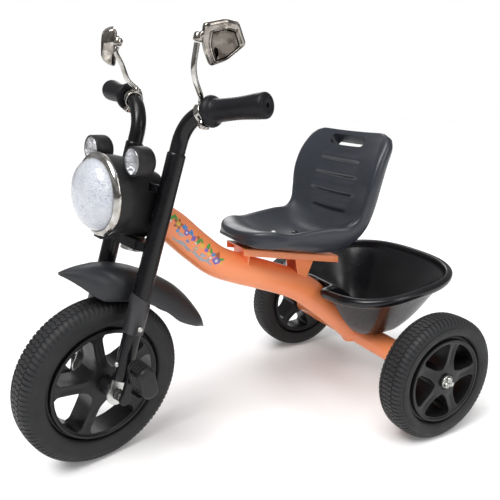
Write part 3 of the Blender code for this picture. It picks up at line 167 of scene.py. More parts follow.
def make_materials():
    m = {}
    s = Shader("orange_powder_paint", (0.92, 0.262, 0.092), 0.33, coat=0.35, coat_rough=0.16)
    s.tint(s.remap(s.noise(14), 0.35, 0.7, 0, 1), (0.97, 0.33, 0.135), 0.55).tint(s.remap(s.noise(5, 2), 0.55, 0.8, 0, 1), (0.82, 0.20, 0.060), 0.4)
    # the paler orange on convex edges is a painted edge highlight
    s.tint(s.edges(0.54, 0.66), (0.97, 0.47, 0.25), 0.35)
    s.roughen(s.noise(30), 0.28, 0.42).bump(s.noise(420, 2), 0.18, 0.0003).bump(s.noise(60, 2), 0.10, 0.0004)
    m["orange"] = s.done()
    s = Shader("black_gloss_paint", (0.0036, 0.0036, 0.0046), 0.27, coat=0.14, coat_rough=0.14, spec=0.24)
    # the lighter tint on convex edges is a painted edge highlight
    s.tint(s.remap(s.noise(20), 0.4, 0.75, 0, 1), (0.0095, 0.0095, 0.0115), 0.8).tint(s.edges(0.56, 0.70), (0.05, 0.05, 0.055), 0.4)
    s.roughen(s.noise(45), 0.22, 0.34).bump(s.noise(380, 2), 0.14, 0.0003).bump(s.noise(1500, 1), 0.05, 0.0001)
    m["black_paint"] = s.done()
    s = Shader("black_matte_moulding", (0.0090, 0.0092, 0.0098), 0.47, spec=0.32)
    # the lighter tint on convex edges is a painted edge highlight
    s.tint(s.remap(s.noise(18), 0.4, 0.7, 0, 1), (0.015, 0.015, 0.0165), 0.7).tint(s.edges(0.55, 0.68), (0.07, 0.07, 0.072), 0.35)
    s.roughen(s.noise(60), 0.40, 0.54).bump(s.noise(900, 2), 0.22, 0.0003)
    m["black_plastic"] = s.done()
    s = Shader("grey_blue_moulding", (0.0185, 0.0215, 0.0290), 0.36, spec=0.50)
    # the lighter blue-grey on convex edges is a painted edge highlight
    s.tint(s.remap(s.noise(9), 0.35, 0.7, 0, 1), (0.0300, 0.0340, 0.0445), 0.7).tint(s.edges(0.53, 0.64), (0.095, 0.10, 0.115), 0.30)
    s.roughen(s.noise(26), 0.29, 0.41).bump(s.noise(700, 2), 0.12, 0.0003).bump(s.noise(35, 2), 0.05, 0.0005)
    m["seat"] = s.done()
    s = Shader("dark_grey_fender_moulding", (0.0185, 0.0200, 0.0235), 0.40, spec=0.42)
    # the lighter tint on convex edges is a painted edge highlight
    s.tint(s.remap(s.noise(16), 0.35, 0.7, 0, 1), (0.027, 0.029, 0.033), 0.6).tint(s.edges(0.54, 0.66), (0.11, 0.11, 0.115), 0.35)
    s.roughen(s.noise(40), 0.36, 0.50).bump(s.noise(650, 2), 0.20, 0.0003)
    m["fender"] = s.done()
    s = Shader("black_sleeve_moulding", (0.0135, 0.014, 0.0165), 0.34, spec=0.5)
    # the lighter tint on convex edges is a painted edge highlight
    s.tint(s.remap(s.noise(22), 0.4, 0.7, 0, 1), (0.021, 0.0215, 0.025), 0.7).tint(s.edges(0.54, 0.66), (0.07, 0.07, 0.075), 0.35)
    s.roughen(s.noise(50), 0.28, 0.42).bump(s.noise(700, 2), 0.16, 0.0003)
    m["sleeve"] = s.done()
    s = Shader("black_gloss_moulding", (0.0050, 0.0052, 0.0068), 0.24, spec=0.36, coat=0.06, coat_rough=0.12)
    # the lighter tint on convex edges is a painted edge highlight
    s.tint(s.remap(s.noise(12), 0.4, 0.7, 0, 1), (0.013, 0.013, 0.016), 0.7).tint(s.edges(0.54, 0.66), (0.06, 0.06, 0.065), 0.3)
    s.roughen(s.noise(30), 0.19, 0.31).bump(s.noise(45, 2), 0.08, 0.0006).bump(s.noise(900, 1), 0.04, 0.0002)
    m["basket"] = s.done()
    s = Shader("tyre_rubber", (0.0125, 0.0130, 0.0142), 0.55, spec=0.34)
    # the lighter tint on convex edges is a painted edge highlight
    s.tint(s.remap(s.noise(25, 4), 0.40, 0.72, 0, 1), (0.020, 0.020, 0.0215), 0.8).tint(s.edges(0.50, 0.62), (0.050, 0.051, 0.054), 0.45)
    s.tint(s.remap(s.noise(260, 3), 0.62, 0.80, 0, 1), (0.075, 0.073, 0.070), 0.30)
    s.roughen(s.noise(50), 0.48, 0.68).bump(s.noise(1100, 3), 0.30, 0.0003)
    m["tyre"] = s.done()
    s = Shader("grip_rubber", (0.0045, 0.0046, 0.0066), 0.42, spec=0.24)
    s.tint(s.remap(s.noise(40), 0.4, 0.7, 0, 1), (0.0105, 0.0105, 0.0130), 0.7)
    s.roughen(s.noise(70), 0.38, 0.54).bump(s.voronoi(900).outputs["Distance"], 0.22, 0.0003)
    m["grip"] = s.done()
    s = Shader("wheel_moulding", (0.0070, 0.0071, 0.0082), 0.38, spec=0.30)
    # the lighter tint on convex edges is a painted edge highlight
    s.tint(s.remap(s.noise(30), 0.4, 0.7, 0, 1), (0.0130, 0.0130, 0.0145), 0.7).tint(s.edges(0.54, 0.66), (0.06, 0.06, 0.062), 0.35)
    s.roughen(s.noise(55), 0.30, 0.44).bump(s.noise(1000, 2), 0.16, 0.0003)
    m["wheel"] = s.done()
    s = Shader("chrome_plate", (0.56, 0.55, 0.53), 0.09, metal=1.0)
    s.tint(s.remap(s.noise(42), 0.40, 0.62, 0, 1), (0.27, 0.245, 0.215), 0.80).tint(s.remap(s.noise(110, 3), 0.52, 0.72, 0, 1), (0.84, 0.81, 0.76), 0.6)
    s.roughen(s.noise(90, 4), 0.07, 0.18).bump(s.noise(70, 2), 0.10, 0.0005)
    m["chrome"] = s.done()
    s = Shader("aged_chrome_plate", (0.36, 0.335, 0.305), 0.11, metal=1.0)
    s.tint(s.remap(s.noise(60, 4), 0.42, 0.62, 0, 1), (0.13, 0.112, 0.096), 0.85).tint(s.remap(s.noise(95, 3), 0.55, 0.70, 0, 1), (0.80, 0.75, 0.66), 0.75)
    s.roughen(s.noise(90, 4), 0.08, 0.20).bump(s.noise(80, 3), 0.14, 0.0005)
    m["mirror_chrome"] = s.done()
    s = Shader("zinc_steel", (0.56, 0.56, 0.54), 0.30, metal=1.0)
    s.tint(s.remap(s.noise(120, 4), 0.45, 0.75, 0, 1), (0.36, 0.36, 0.345), 0.6).tint(s.remap(s.noise(35, 3), 0.6, 0.8, 0, 1), (0.30, 0.26, 0.21), 0.3)
    s.roughen(s.noise(180, 3, stretch=(1, 1, 8)), 0.24, 0.44).bump(s.noise(500, 2, stretch=(1, 1, 6)), 0.10, 0.0002)
    m["steel"] = s.done()
    s = Shader("nylon_bush", (0.030, 0.030, 0.031), 0.50)
    s.tint(s.remap(s.noise(80), 0.4, 0.7, 0, 1), (0.050, 0.050, 0.050), 0.6).roughen(s.noise(120), 0.42, 0.58).bump(s.noise(900, 2), 0.15, 0.0002)
    m["nylon"] = s.done()
    s = Shader("mirror_glass", (0.155, 0.135, 0.118), 0.03, metal=1.0)
    s.tint(s.remap(s.noise(85, 4), 0.48, 0.62, 0, 1), (0.045, 0.036, 0.031), 0.8).tint(s.remap(s.noise(50, 3), 0.56, 0.74, 0, 1), (0.36, 0.34, 0.31), 0.5).roughen(s.noise(160, 4), 0.02, 0.07).bump(s.noise(70, 2), 0.05, 0.0005)
    m["mirror"] = s.done()
    s = Shader("frosted_blue_lens", (0.60, 0.63, 0.71), 0.12, transmission=0.22, coat=0.8, coat_rough=0.05, ior=1.45)
    v = s.voronoi(560)
    # the lighter tint per voronoi cell is painted sparkle, the facets catching light
    s.tint(s.remap(v.outputs["Color"], 0.35, 0.9, 0, 1), (0.90, 0.93, 0.99), 0.55).tint(s.remap(s.noise(330, 3), 0.56, 0.68, 0, 1), (0.30, 0.35, 0.47), 0.65).tint(s.remap(s.noise(40, 2), 0.42, 0.62, 0, 1), (0.80, 0.81, 0.84), 0.5)
    s.roughen(s.noise(200), 0.07, 0.20).bump(v.outputs["Distance"], 0.75, 0.0010)
    s.link(s.height, s.bsdf.inputs["Normal"])
    m["lens"] = s.done()
    for link in list(s.tree.links):
        if link.to_socket.name == "Coat Normal":
            s.tree.links.remove(link)
    s = Shader("clear_lens", (0.88, 0.88, 0.90), 0.05, transmission=0.86, coat=0.6, coat_rough=0.02, ior=1.45)
    s.tint(s.remap(s.noise(120), 0.5, 0.8, 0, 1), (0.70, 0.74, 0.82), 0.4).roughen(s.noise(200), 0.03, 0.09).bump(s.voronoi(260).outputs["Distance"], 0.16, 0.0006)
    m["clear"] = s.done()
    s = Shader("faceted_reflector", (0.86, 0.87, 0.90), 0.10, metal=1.0)
    v = s.voronoi(420)
    s.tint(s.remap(v.outputs["Color"], 0.2, 0.8, 0, 1), (0.60, 0.62, 0.68), 0.6).roughen(s.noise(200), 0.06, 0.18).bump(v.outputs["Distance"], 0.9, 0.0010)
    m["reflector"] = s.done()
    for name, rgb in (("leaf", (0.10, 0.36, 0.07)), ("sky", (0.10, 0.30, 0.62)), ("violet", (0.20, 0.12, 0.46)), ("brown", (0.42, 0.13, 0.055)), ("white", (0.74, 0.73, 0.72)), ("yellow", (0.80, 0.50, 0.07)), ("grey", (0.38, 0.39, 0.42))):
        s = Shader("decal_" + name, rgb, 0.30, coat=0.5, coat_rough=0.06)
        dark = tuple(c * 0.55 for c in rgb)
        s.tint(s.remap(s.noise(300, 2), 0.45, 0.6, 0, 1), dark, 0.5).roughen(s.noise(150), 0.24, 0.38).bump(s.noise(700, 2), 0.08, 0.0002)
        m["decal_" + name] = s.done()
    return m


MAT = make_materials()


# ---------------------------------------------------------------- mesh helpers
def put(name, mesh, mat, body, stands=(), at=None, angle=40.0, bevel=0.0):
    """Makes a finished piece from a mesh, in place, and lets it ride on its body."""
    if isinstance(mesh, bmesh.types.BMesh):
        bm = mesh
        bmesh.ops.remove_doubles(bm, verts=bm.verts, dist=0.000002)
        bmesh.ops.recalc_face_normals(bm, faces=bm.faces)
        mesh = bpy.data.meshes.new(name)
        bm.to_mesh(mesh)
        bm.free()
    mesh.name = name
    if at is not None:
        mesh.transform(at)
    mesh.shade_smooth()
    mesh.set_sharp_from_angle(angle=math.radians(angle))
    obj = bpy.data.objects.new(name, mesh)
    bpy.context.scene.collection.objects.link(obj)
    mesh.materials.clear()
    mesh.materials.append(MAT[mat])
    if bevel:
        m = obj.modifiers.new("soft_edges", "BEVEL")
        m.width, m.segments, m.limit_method, m.angle_limit = bevel, 3, "ANGLE", math.radians(min(angle, 32.0))
        m.harden_normals = True
        m.use_clamp_overlap = True
    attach(obj, body)
    if stands:
        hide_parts(*([stands] if isinstance(stands, str) else stands))
    return obj


def grid(points, wrap_rows=False, wrap_cols=True, caps=(False, False), skip=None):
    """A mesh from an array of rows of points."""
    p = np.asarray(points, float)
    rows, cols = p.shape[:2]
    i, j = np.meshgrid(np.arange(rows if wrap_rows else rows - 1), np.arange(cols if wrap_cols else cols - 1), indexing="ij")
    i, j = i.ravel(), j.ravel()
    i2, j2 = (i + 1) % rows, (j + 1) % cols
    faces = np.stack([i * cols + j, i * cols + j2, i2 * cols + j2, i2 * cols + j], axis=1).tolist()
    if caps[0]:
        faces.append(list(range(cols))[::-1])
    if caps[1]:
        faces.append([(rows - 1) * cols + k for k in range(cols)])
    mesh = bpy.data.meshes.new("grid")
    mesh.from_pydata(p.reshape(-1, 3).tolist(), [], faces)
    bm = bmesh.new()
    bm.from_mesh(mesh)
    bpy.data.meshes.remove(mesh)
    return bm


def join(*parts):
    """Several meshes in one."""
    out = bmesh.new()
    for bm in parts:
        bmesh.ops.remove_doubles(bm, verts=bm.verts, dist=0.000002)
        bmesh.ops.recalc_face_normals(bm, faces=bm.faces)
        mesh = bpy.data.meshes.new("part")
        bm.to_mesh(mesh)
        bm.free()
        out.from_mesh(mesh)
        bpy.data.meshes.remove(mesh)
    return out


def combine(a, b, operation="DIFFERENCE"):
    objs = []
    for bm in (a, b):
        bmesh.ops.remove_doubles(bm, verts=bm.verts, dist=0.000002)
        bmesh.ops.recalc_face_normals(bm, faces=bm.faces)
        mesh = bpy.data.meshes.new("boolean")
        bm.to_mesh(mesh)
        bm.free()
        obj = bpy.data.objects.new("boolean", mesh)
        bpy.context.scene.collection.objects.link(obj)
        objs.append(obj)
    mod = objs[0].modifiers.new("cut", "BOOLEAN")
    mod.operation, mod.solver, mod.object = operation, "EXACT", objs[1]
    bpy.context.view_layer.update()
    result = bpy.data.meshes.new_from_object(objs[0].evaluated_get(bpy.context.evaluated_depsgraph_get()))
    out = bmesh.new()
    out.from_mesh(result)
    bpy.data.meshes.remove(result)
    for obj in objs:
        mesh = obj.data
        bpy.data.objects.remove(obj)
        bpy.data.meshes.remove(mesh)
    return out


def moved(bm, matrix):
    bmesh.ops.transform(bm, matrix=matrix, verts=bm.verts)
    return bm


def rings_to_faces(bm, rings, closed_path, caps):
    loops = [[bm.verts.new(p) for p in ring] for ring in rings]
    pairs = list(zip(loops, loops[1:]))
    if closed_path:
        pairs.append((loops[-1], loops[0]))
    for a, b in pairs:
        n = max(len(a), len(b))
        if n == 1:
            continue
        for i in range(n):
            j = (i + 1) % n
            if len(a) == 1:
                bm.faces.new((a[0], b[j], b[i]))
            elif len(b) == 1:
                bm.faces.new((a[i], a[j], b[0]))
            else:
                bm.faces.new((a[i], a[j], b[j], b[i]))
    if caps and not closed_path:
        for loop in (loops[0], loops[-1]):
            if len(loop) > 2:
                bm.faces.new(loop)
    return bm


def lathe(profile, seg, closed=False, axis="Z", offset=(0, 0, 0)):
    rings = []
    for r, h in profile:
        ring = []
        for k in range(1 if r < 1e-7 else seg):
            a = 2 * math.pi * k / seg
            u, v = r * math.cos(a), r * math.sin(a)
            ring.append(Vector({"Z": (u, v, h), "X": (h, u, v), "Y": (v, h, u)}[axis]) + Vector(offset))
        rings.append(ring)
    return rings_to_faces(bmesh.new(), rings, closed, caps=not closed)


def frames(path, start):
    pts = [Vector(p) for p in path]
    out, normal = [], Vector(start)
    for i, p in enumerate(pts):
        tangent = (pts[min(i + 1, len(pts) - 1)] - pts[max(i - 1, 0)]).normalized()
        normal = (normal - tangent * normal.dot(tangent)).normalized()
        out.append((p, tangent, normal, tangent.cross(normal)))
    return out


def pipe(path, radius, wall=0.0, seg=40, start=(1, 0, 0), radii=None):
    fr = frames(path, start)

    def ring(f, r):
        p, _, n, b = f
        return [p + (n * math.cos(2 * math.pi * k / seg) + b * math.sin(2 * math.pi * k / seg)) * r for k in range(seg)]

    radii = radii or [radius] * len(fr)
    rings = [ring(f, r) for f, r in zip(fr, radii)]
    if wall:
        rings += [ring(f, r - wall) for f, r in zip(reversed(fr), reversed(radii))]
    return rings_to_faces(bmesh.new(), rings, closed_path=bool(wall), caps=not wall)


def bead(points, radius, seg=8, seed=1.0):
    """A weld bead along a closed line of points, with a slight ripple."""
    pts = np.array(points, float)
    n = len(pts)
    ahead, behind = np.roll(pts, -1, axis=0), np.roll(pts, 1, axis=0)
    tangent = ahead - behind
    tangent /= np.linalg.norm(tangent, axis=1)[:, None]
    centre = pts.mean(axis=0)
    out = pts - centre
    out -= tangent * (out * tangent).sum(axis=1)[:, None]
    out /= np.linalg.norm(out, axis=1)[:, None]
    side = np.cross(tangent, out)
    k = np.arange(n)
    r = radius * (1 + 0.10 * np.sin(k * 2 * math.pi * round(n / 6) / n + seed))
    ring = []
    for q in range(seg):
        a = 2 * math.pi * q / seg
        ring.append(pts + (out * math.cos(a) + side * math.sin(a)) * r[:, None])
    return grid(np.stack(ring, axis=1), wrap_rows=True)


def prism(outline, low, high, axis="X"):
    place = {"X": lambda a, b, h: (h, a, b), "Y": lambda a, b, h: (a, h, b), "Z": lambda a, b, h: (a, b, h)}[axis]
    bm = bmesh.new()
    base = [bm.verts.new(place(a, b, low)) for a, b in outline]
    top = bmesh.ops.extrude_face_region(bm, geom=[bm.faces.new(base)])
    bmesh.ops.translate(bm, verts=[v for v in top["geom"] if isinstance(v, bmesh.types.BMVert)], vec=Vector(place(0, 0, high)) - Vector(place(0, 0, low)))
    return bm


def arc(cx, cy, r, a0, a1, n):
    return [(cx + r * math.cos(math.radians(a0 + (a1 - a0) * k / (n - 1))), cy + r * math.sin(math.radians(a0 + (a1 - a0) * k / (n - 1)))) for k in range(n)]


def smooth_path(points, count):
    pts = [np.array(p, float) for p in points]
    pts = [2 * pts[0] - pts[1]] + pts + [2 * pts[-1] - pts[-2]]
    dense = []
    for i in range(1, len(pts) - 2):
        p0, p1, p2, p3 = pts[i - 1 : i + 3]
        for t in np.linspace(0, 1, 24, endpoint=False):
            dense.append(0.5 * (2 * p1 + (p2 - p0) * t + (2 * p0 - 5 * p1 + 4 * p2 - p3) * t * t + (3 * p1 - p0 - 3 * p2 + p3) * t ** 3))
    dense.append(pts[-2])
    dense = np.array(dense)
    run = np.concatenate([[0], np.cumsum(np.linalg.norm(np.diff(dense, axis=0), axis=1))])
    return [tuple(np.interp(w, run, dense[:, k]) for k in range(dense.shape[1])) for w in np.linspace(0, run[-1], count)]


def through(rows, per):
    """Smooth rows of numbers between given rows: an array (n, ...) becomes ((n - 1) * per + 1, ...)."""
    p = np.asarray(rows, float)
    ext = np.concatenate([[2 * p[0] - p[1]], p, [2 * p[-1] - p[-2]]])
    out = []
    for i in range(1, len(ext) - 2):
        p0, p1, p2, p3 = ext[i - 1 : i + 3]
        for t in np.linspace(0, 1, per, endpoint=False):
            out.append(0.5 * (2 * p1 + (p2 - p0) * t + (2 * p0 - 5 * p1 + 4 * p2 - p3) * t * t + (3 * p1 - p0 - 3 * p2 + p3) * t ** 3))
    out.append(p[-1])
    return np.array(out)


def soften(points, times=3, closed=True):
    """Cuts the corners of a line of points again and again."""
    p = np.asarray(points, float)
    for _ in range(times):
        q = np.roll(p, -1, axis=0) if closed else p[1:]
        a = p if closed else p[:-1]
        mix = np.stack([0.75 * a + 0.25 * q, 0.25 * a + 0.75 * q], axis=1).reshape(-1, *p.shape[1:])
        p = mix if closed else np.concatenate([p[:1], mix[1:-1], p[-1:]])
    return p


def keep(node, mat, bevel=0.0):
    """A CAD node that keeps its shape and gets a finished material."""
    obj = NODES[node]
    obj.data.materials.clear()
    obj.data.materials.append(MAT[mat])
    if bevel:
        weld = obj.modifiers.new("weld", "WELD")
        weld.merge_threshold = 0.00002
        m = obj.modifiers.new("soft_edges", "BEVEL")
        m.width, m.segments, m.limit_method, m.angle_limit = bevel, 2, "ANGLE", math.radians(35)
        m.harden_normals = True


# ---------------------------------------------------------------- tyres
def tyre(name, radius, width, bead_r, lugs, at, body, node):
    h = width / 2
    tread = [0.0, 0.030, 0.045, 0.09, 0.17, 0.26, 0.35, 0.40, 0.425, 0.470, 0.495, 0.53, 0.60, 0.68, 0.76, 0.83, 0.88]
    crown = [(u * h, radius - (0.0028 * u * u + 0.01343 * u ** 8)) for u in tread]
    side = bead_r + (radius - bead_r) * 0.34
    shoulder = radius - 0.0070
    wall = [(0.88 * h, shoulder), (0.925 * h, shoulder - 0.0022), (0.962 * h, shoulder - 0.0048), (0.985 * h, shoulder - 0.0075), (0.998 * h, (shoulder + side) / 2 - 0.0008), (1.0 * h, side), (0.985 * h, side - 0.30 * (side - bead_r)), (0.93 * h, side - 0.66 * (side - bead_r)), (0.85 * h, side - 0.88 * (side - bead_r)), (0.74 * h, bead_r)]
    wall = through(wall, 4)[1:]
    ridge = np.exp(-((wall[:, 1] - (side + 0.60 * (shoulder - side))) / 0.0007) ** 2) * 0.00045
    wall[:, 0] = np.minimum(wall[:, 0] + ridge, h)
    half = crown + [tuple(w) for w in wall]
    zones = [u for u in tread] + [1.2] * len(wall)
    outer = [(-x, r, -u) for (x, r), u in zip(reversed(half), reversed(zones))] + [(x, r, u) for (x, r), u in zip(half[1:], zones[1:])]
    inner = [(0.74 * h - 0.0035, bead_r + 0.0001), (0.70 * h, radius - 0.0098), (-0.70 * h, radius - 0.0098), (-0.74 * h + 0.0035, bead_r + 0.0001)]
    steps = [(0.0, 0.0), (0.34, 0.0), (0.40, 1.0), (0.60, 1.0), (0.66, 0.0)]
    pitch = 2 * math.pi / lugs
    rows = []
    for k in range(lugs):
        for f, groove in steps:
            row = []
            for x, r, u in outer:
                a = abs(u)
                depth = 0.0
                shift = 0.0
                if a <= 1.0:
                    shift = (0.34 * (1 - abs(a / 0.235 - 1)) if a < 0.45 else 0.5 + 0.22 * (a - 0.48) / 0.45) * pitch
                    if 0.0 < a < 0.43:
                        depth = 0.0013 * groove * min(1.0, a / 0.045)
                    if a >= 0.48:
                        depth = 0.0016 * groove * min(1.0, (a - 0.48) / 0.03)
                    if 0.42 < a < 0.48:
                        depth = 0.0016
                    if a < 0.02:
                        depth = 0.0009
                    t = a * h
                elif r > shoulder - 0.0050:
                    depth = 0.0011 * groove * (r - shoulder + 0.0050) / 0.0050
                    shift = 0.70 * pitch
                ang = (k + f) * pitch + shift
                rr = r - depth
                row.append((x, rr * math.cos(ang), rr * math.sin(ang)))
            for x, r in inner:
                ang = (k + f) * pitch
                row.append((x, r * math.cos(ang), r * math.sin(ang)))
            rows.append(row)
    return put(name, grid(rows, wrap_rows=True, wrap_cols=True), "tyre", body, node, at, angle=34)


# ---------------------------------------------------------------- wheels
def rim(name, bore, hub_r, outer_r, band, hub_half, band_half, web_half, phase, boss, spoke, at, body, node):
    """A one-piece five-spoke wheel with filleted windows."""
    spokes, edge_cells, window_cells = 5, 4, 10
    per = 2 * edge_cells + window_cells
    n = spokes * per
    full = 2 * math.pi / spokes
    r1, r2 = hub_r + 0.0040, outer_r - band
    rows = [(bore, hub_half - 0.0010), (bore + 0.0012, hub_half), (boss - 0.0012, hub_half), (boss, hub_half - (0.0012 if hub_half > web_half else -0.0004)), (boss + 0.0008, web_half + 0.0008), (boss + 0.0020, web_half + 0.0012), (hub_r - 0.0020, web_half + 0.0010), (hub_r, web_half + 0.0007)]
    first = len(rows)
    for t in np.linspace(0, 1, 13):
        r = r1 + (r2 - r1) * t
        rows.append((r, web_half + 0.0007 * (1 - t) ** 2 - 0.0009 * math.sin(math.pi * t)))
    last = len(rows) - 1
    rows += [(r2 + 0.0012, web_half + 0.0004), (r2 + 0.0024, band_half - 0.0012), (r2 + 0.0032, band_half - 0.0002), (outer_r - 0.0045, band_half), (outer_r - 0.0036, band_half - 0.0008), (outer_r - 0.0032, band_half - 0.0030), (outer_r - 0.0030, band_half - 0.0066), (outer_r, band_half - 0.0072)]

    def half_width(r):
        t = min(max((r - r1) / (r2 - r1), 0.0), 1.0)
        return spoke + 0.0050 * max(1 - (r - r1) / 0.013, 0.0) ** 2 + 0.0042 * max(1 - (r2 - r) / 0.0075, 0.0) ** 2

    def angle(row, j):
        base, k = divmod(j, per)
        r = rows[row][0]
        edge = min(math.asin(min(half_width(r) / r, 0.99)), 0.43 * full)
        if k <= edge_cells:
            local = edge * k / edge_cells
        elif k < edge_cells + window_cells:
            local = edge + (full - 2 * edge) * (k - edge_cells) / window_cells
        else:
            local = full - edge + edge * (k - edge_cells - window_cells) / edge_cells
        return phase + base * full + local

    def rib(row, j):
        """A shallow channel down the middle of each spoke."""
        if not first < row < last:
            return 0.0
        k = j % per
        d = min(k, per - k)
        return {0: 0.0013, 1: 0.0011, 2: 0.0003}.get(d, 0.0) * min(1.0, (row - first) / 3.0, (last - row) / 3.0)

    solid_cell = [[not (first <= row < last and edge_cells <= j % per < edge_cells + window_cells) for j in range(n)] for row in range(len(rows) - 1)]
    bm = bmesh.new()
    verts = {}

    def vert(row, j, sign):
        key = (row, j % n, sign)
        if key not in verts:
            r, half = rows[row]
            a = angle(row, j % n)
            verts[key] = bm.verts.new((sign * (half - rib(row, j % n)), r * math.cos(a), r * math.sin(a)))
        return verts[key]

    for row in range(len(rows) - 1):
        for j in range(n):
            if not solid_cell[row][j]:
                continue
            for sign in (1, -1):
                quad = [vert(row, j, sign), vert(row, j + 1, sign), vert(row + 1, j + 1, sign), vert(row + 1, j, sign)]
                bm.faces.new(quad if sign > 0 else quad[::-1])
            for is_open, a, b in ((row == 0 or not solid_cell[row - 1][j], (row, j), (row, j + 1)), (row == len(rows) - 2 or not solid_cell[row + 1][j], (row + 1, j + 1), (row + 1, j)),
                                  (not solid_cell[row][j - 1], (row + 1, j), (row, j)), (not solid_cell[row][(j + 1) % n], (row, j + 1), (row + 1, j + 1))):
                if is_open:
                    bm.faces.new((vert(*a, 1), vert(*a, -1), vert(*b, -1), vert(*b, 1)))
    return put(name, bm, "wheel", body, node, at, angle=38, bevel=0.0009)


def wheels():
    tyre("front_tyre_tread", FRONT_R, FRONT_W, FRONT_BEAD, 102, STEERING, "front_wheel", "front_tyre")
    rim("front_wheel_moulding", AXLE_R + GAP, 0.0225, FRONT_BEAD - 0.001, 0.0105, 0.0400, 0.0225, 0.0195, math.radians(114.5), 0.0115, 0.0078, STEERING, "front_wheel", "front_rim")
    for sign, side in SIDES:
        body, at = "rear_wheel_" + side, WHEEL[sign]
        tyre("rear_tyre_tread_" + side, REAR_R, REAR_W, REAR_BEAD, 82, at, body, "rear_tyre_" + side)
        rim("rear_wheel_moulding_" + side, AXLE_R + 0.0027, 0.0185, REAR_BEAD - 0.001, 0.0100, 0.0205, 0.0232, 0.0208, math.radians(77), 0.0125, 0.0074, at, body, "rear_rim_" + side)
        keep("rear_bush_" + side, "nylon")
        base = 0.0238
        cap = [(AXLE_R + GAP, base), (0.0098, base), (0.0103, base + 0.0005), (0.0104, base + 0.0014), (0.0098, base + 0.0022), (0.0084, base + 0.0026), (0.0040, base + 0.0030), (0.0, base + 0.0031), (0.0, base + 0.0014), (AXLE_R + GAP, base + 0.0014)]
        parts = [lathe([(r, sign * x) for r, x in cap], 36, closed=True, axis="X")]
        for k in range(3):
            a = math.radians(90 + 120 * k)
            dome = [(0.0, base + 0.0012), (0.0046, base + 0.0012), (0.0047, base + 0.0050), (0.0044, base + 0.0064), (0.0036, base + 0.0074), (0.0026, base + 0.0078), (0.0022, base + 0.0072), (0.0014, base + 0.0066), (0.0, base + 0.0064)]
            parts.append(lathe([(r, sign * x) for r, x in dome], 24, axis="X", offset=(0, 0.0052 * math.cos(a), 0.0052 * math.sin(a))))
        put("axle_cap_lobes_" + side, join(*parts), "steel", body, "axle_cap_" + side, at, angle=50)


# ---------------------------------------------------------------- cranks and pedals
def cranks():
    crank_len, crank_x, pedal_x = 0.043, 0.0705, (0.0800, 0.1165)
    put("crank_axle_rod", lathe([(0, -0.0670), (AXLE_R - 0.0006, -0.0670), (AXLE_R, -0.0664), (AXLE_R, 0.0664), (AXLE_R - 0.0006, 0.0670), (0, 0.0670)], 32, axis="X"), "steel", "front_wheel", "crank_axle", STEERING)
    for sign, side in SIDES:
        up = 1 if sign > 0 else -1
        arm = arc(0, 0, 0.0080, 180, 360, 20) + [(0.0056, 0.012), (0.0052, crank_len - 0.012)] + [(a, b + crank_len) for a, b in arc(0, 0, 0.0066, 0, 180, 20)] + [(-0.0052, crank_len - 0.012), (-0.0056, 0.012)]
        plate = prism([(y * up, z * up) for y, z in arm], sign * (crank_x - 0.0032), sign * (crank_x + 0.0032), "X")
        put("crank_arm_" + side, plate, "black_paint", "front_wheel", "crank_" + side, STEERING, angle=35, bevel=0.0009)
        pin = lathe([(0, sign * (crank_x + 0.001)), (0.0040, sign * (crank_x + 0.001)), (0.0040, sign * 0.1138), (0, sign * 0.1140)], 24, axis="X", offset=(0, 0, up * crank_len))
        put("pedal_pin_" + side, pin, "steel", "front_wheel", (), STEERING)
        half, thick = 0.0235, 0.0115
        tilt = math.radians(118)
        x0, x1 = pedal_x
        c = 0.0098
        loop = arc(half - c, thick - c, c, 0, 90, 12) + arc(-half + c, thick - c, c, 90, 180, 12) + arc(-half + c, -thick + c, c, 180, 270, 12) + arc(half - c, -thick + c, c, 270, 360, 12)
        teeth, rows = 5, []
        span = x1 - x0
        stations = [(x0, 0.0046), (x0 + 0.0003, 0.0032), (x0 + 0.0010, 0.0016), (x0 + 0.0022, 0.0005), (x0 + 0.0040, 0.0)]
        for k in range(teeth):
            a = x0 + 0.0052 + (span - 0.0104) * k / teeth
            w = (span - 0.0104) / teeth
            stations += [(a + 0.08 * w, 0.0), (a + 0.20 * w, 0.0017), (a + 0.52 * w, 0.0017), (a + 0.64 * w, 0.0)]
        stations += [(x1 - 0.0048, 0.0), (x1 - 0.0028, 0.0005), (x1 - 0.0012, 0.0018), (x1 - 0.0003, 0.0038), (x1, 0.0058)]
        for x, inset in stations:
            row = []
            for y, z in loop:
                long = abs(y) / half
                d = inset if x < x0 + 0.0042 or x > x1 - 0.0050 else inset * min(1.0, max(0.0, (abs(z) / thick - 0.1) * 1.8) + max(0.0, long - 0.7) * 3)
                r = math.hypot(y, z)
                row.append((sign * x, y * (1 - d / r), z * (1 - d / r)))
            rows.append(row)
        block = grid(rows, caps=(True, True))
        bore = lathe([(0, sign * 0.075), (0.0044, sign * 0.075), (0.0044, sign * 0.1150), (0, sign * 0.1150)], 24, axis="X")
        block = combine(block, bore)
        for k in (-1, 1):
            y0, w, t = k * 0.0150, 0.0035, 0.020
            slot = prism([(y0 - w, -t), (y0 + w, -t), (y0 + w, t), (y0 - w, t)], sign * (x0 + 0.008), sign * (x1 - 0.010), "X")
            block = combine(block, slot)
        at = STEERING @ Matrix.Translation((0, 0, up * crank_len)) @ Matrix.Rotation(tilt, 4, "X")
        put("pedal_block_" + side, block, "black_plastic", side + "_pedal", "pedal_" + side, at, angle=38)


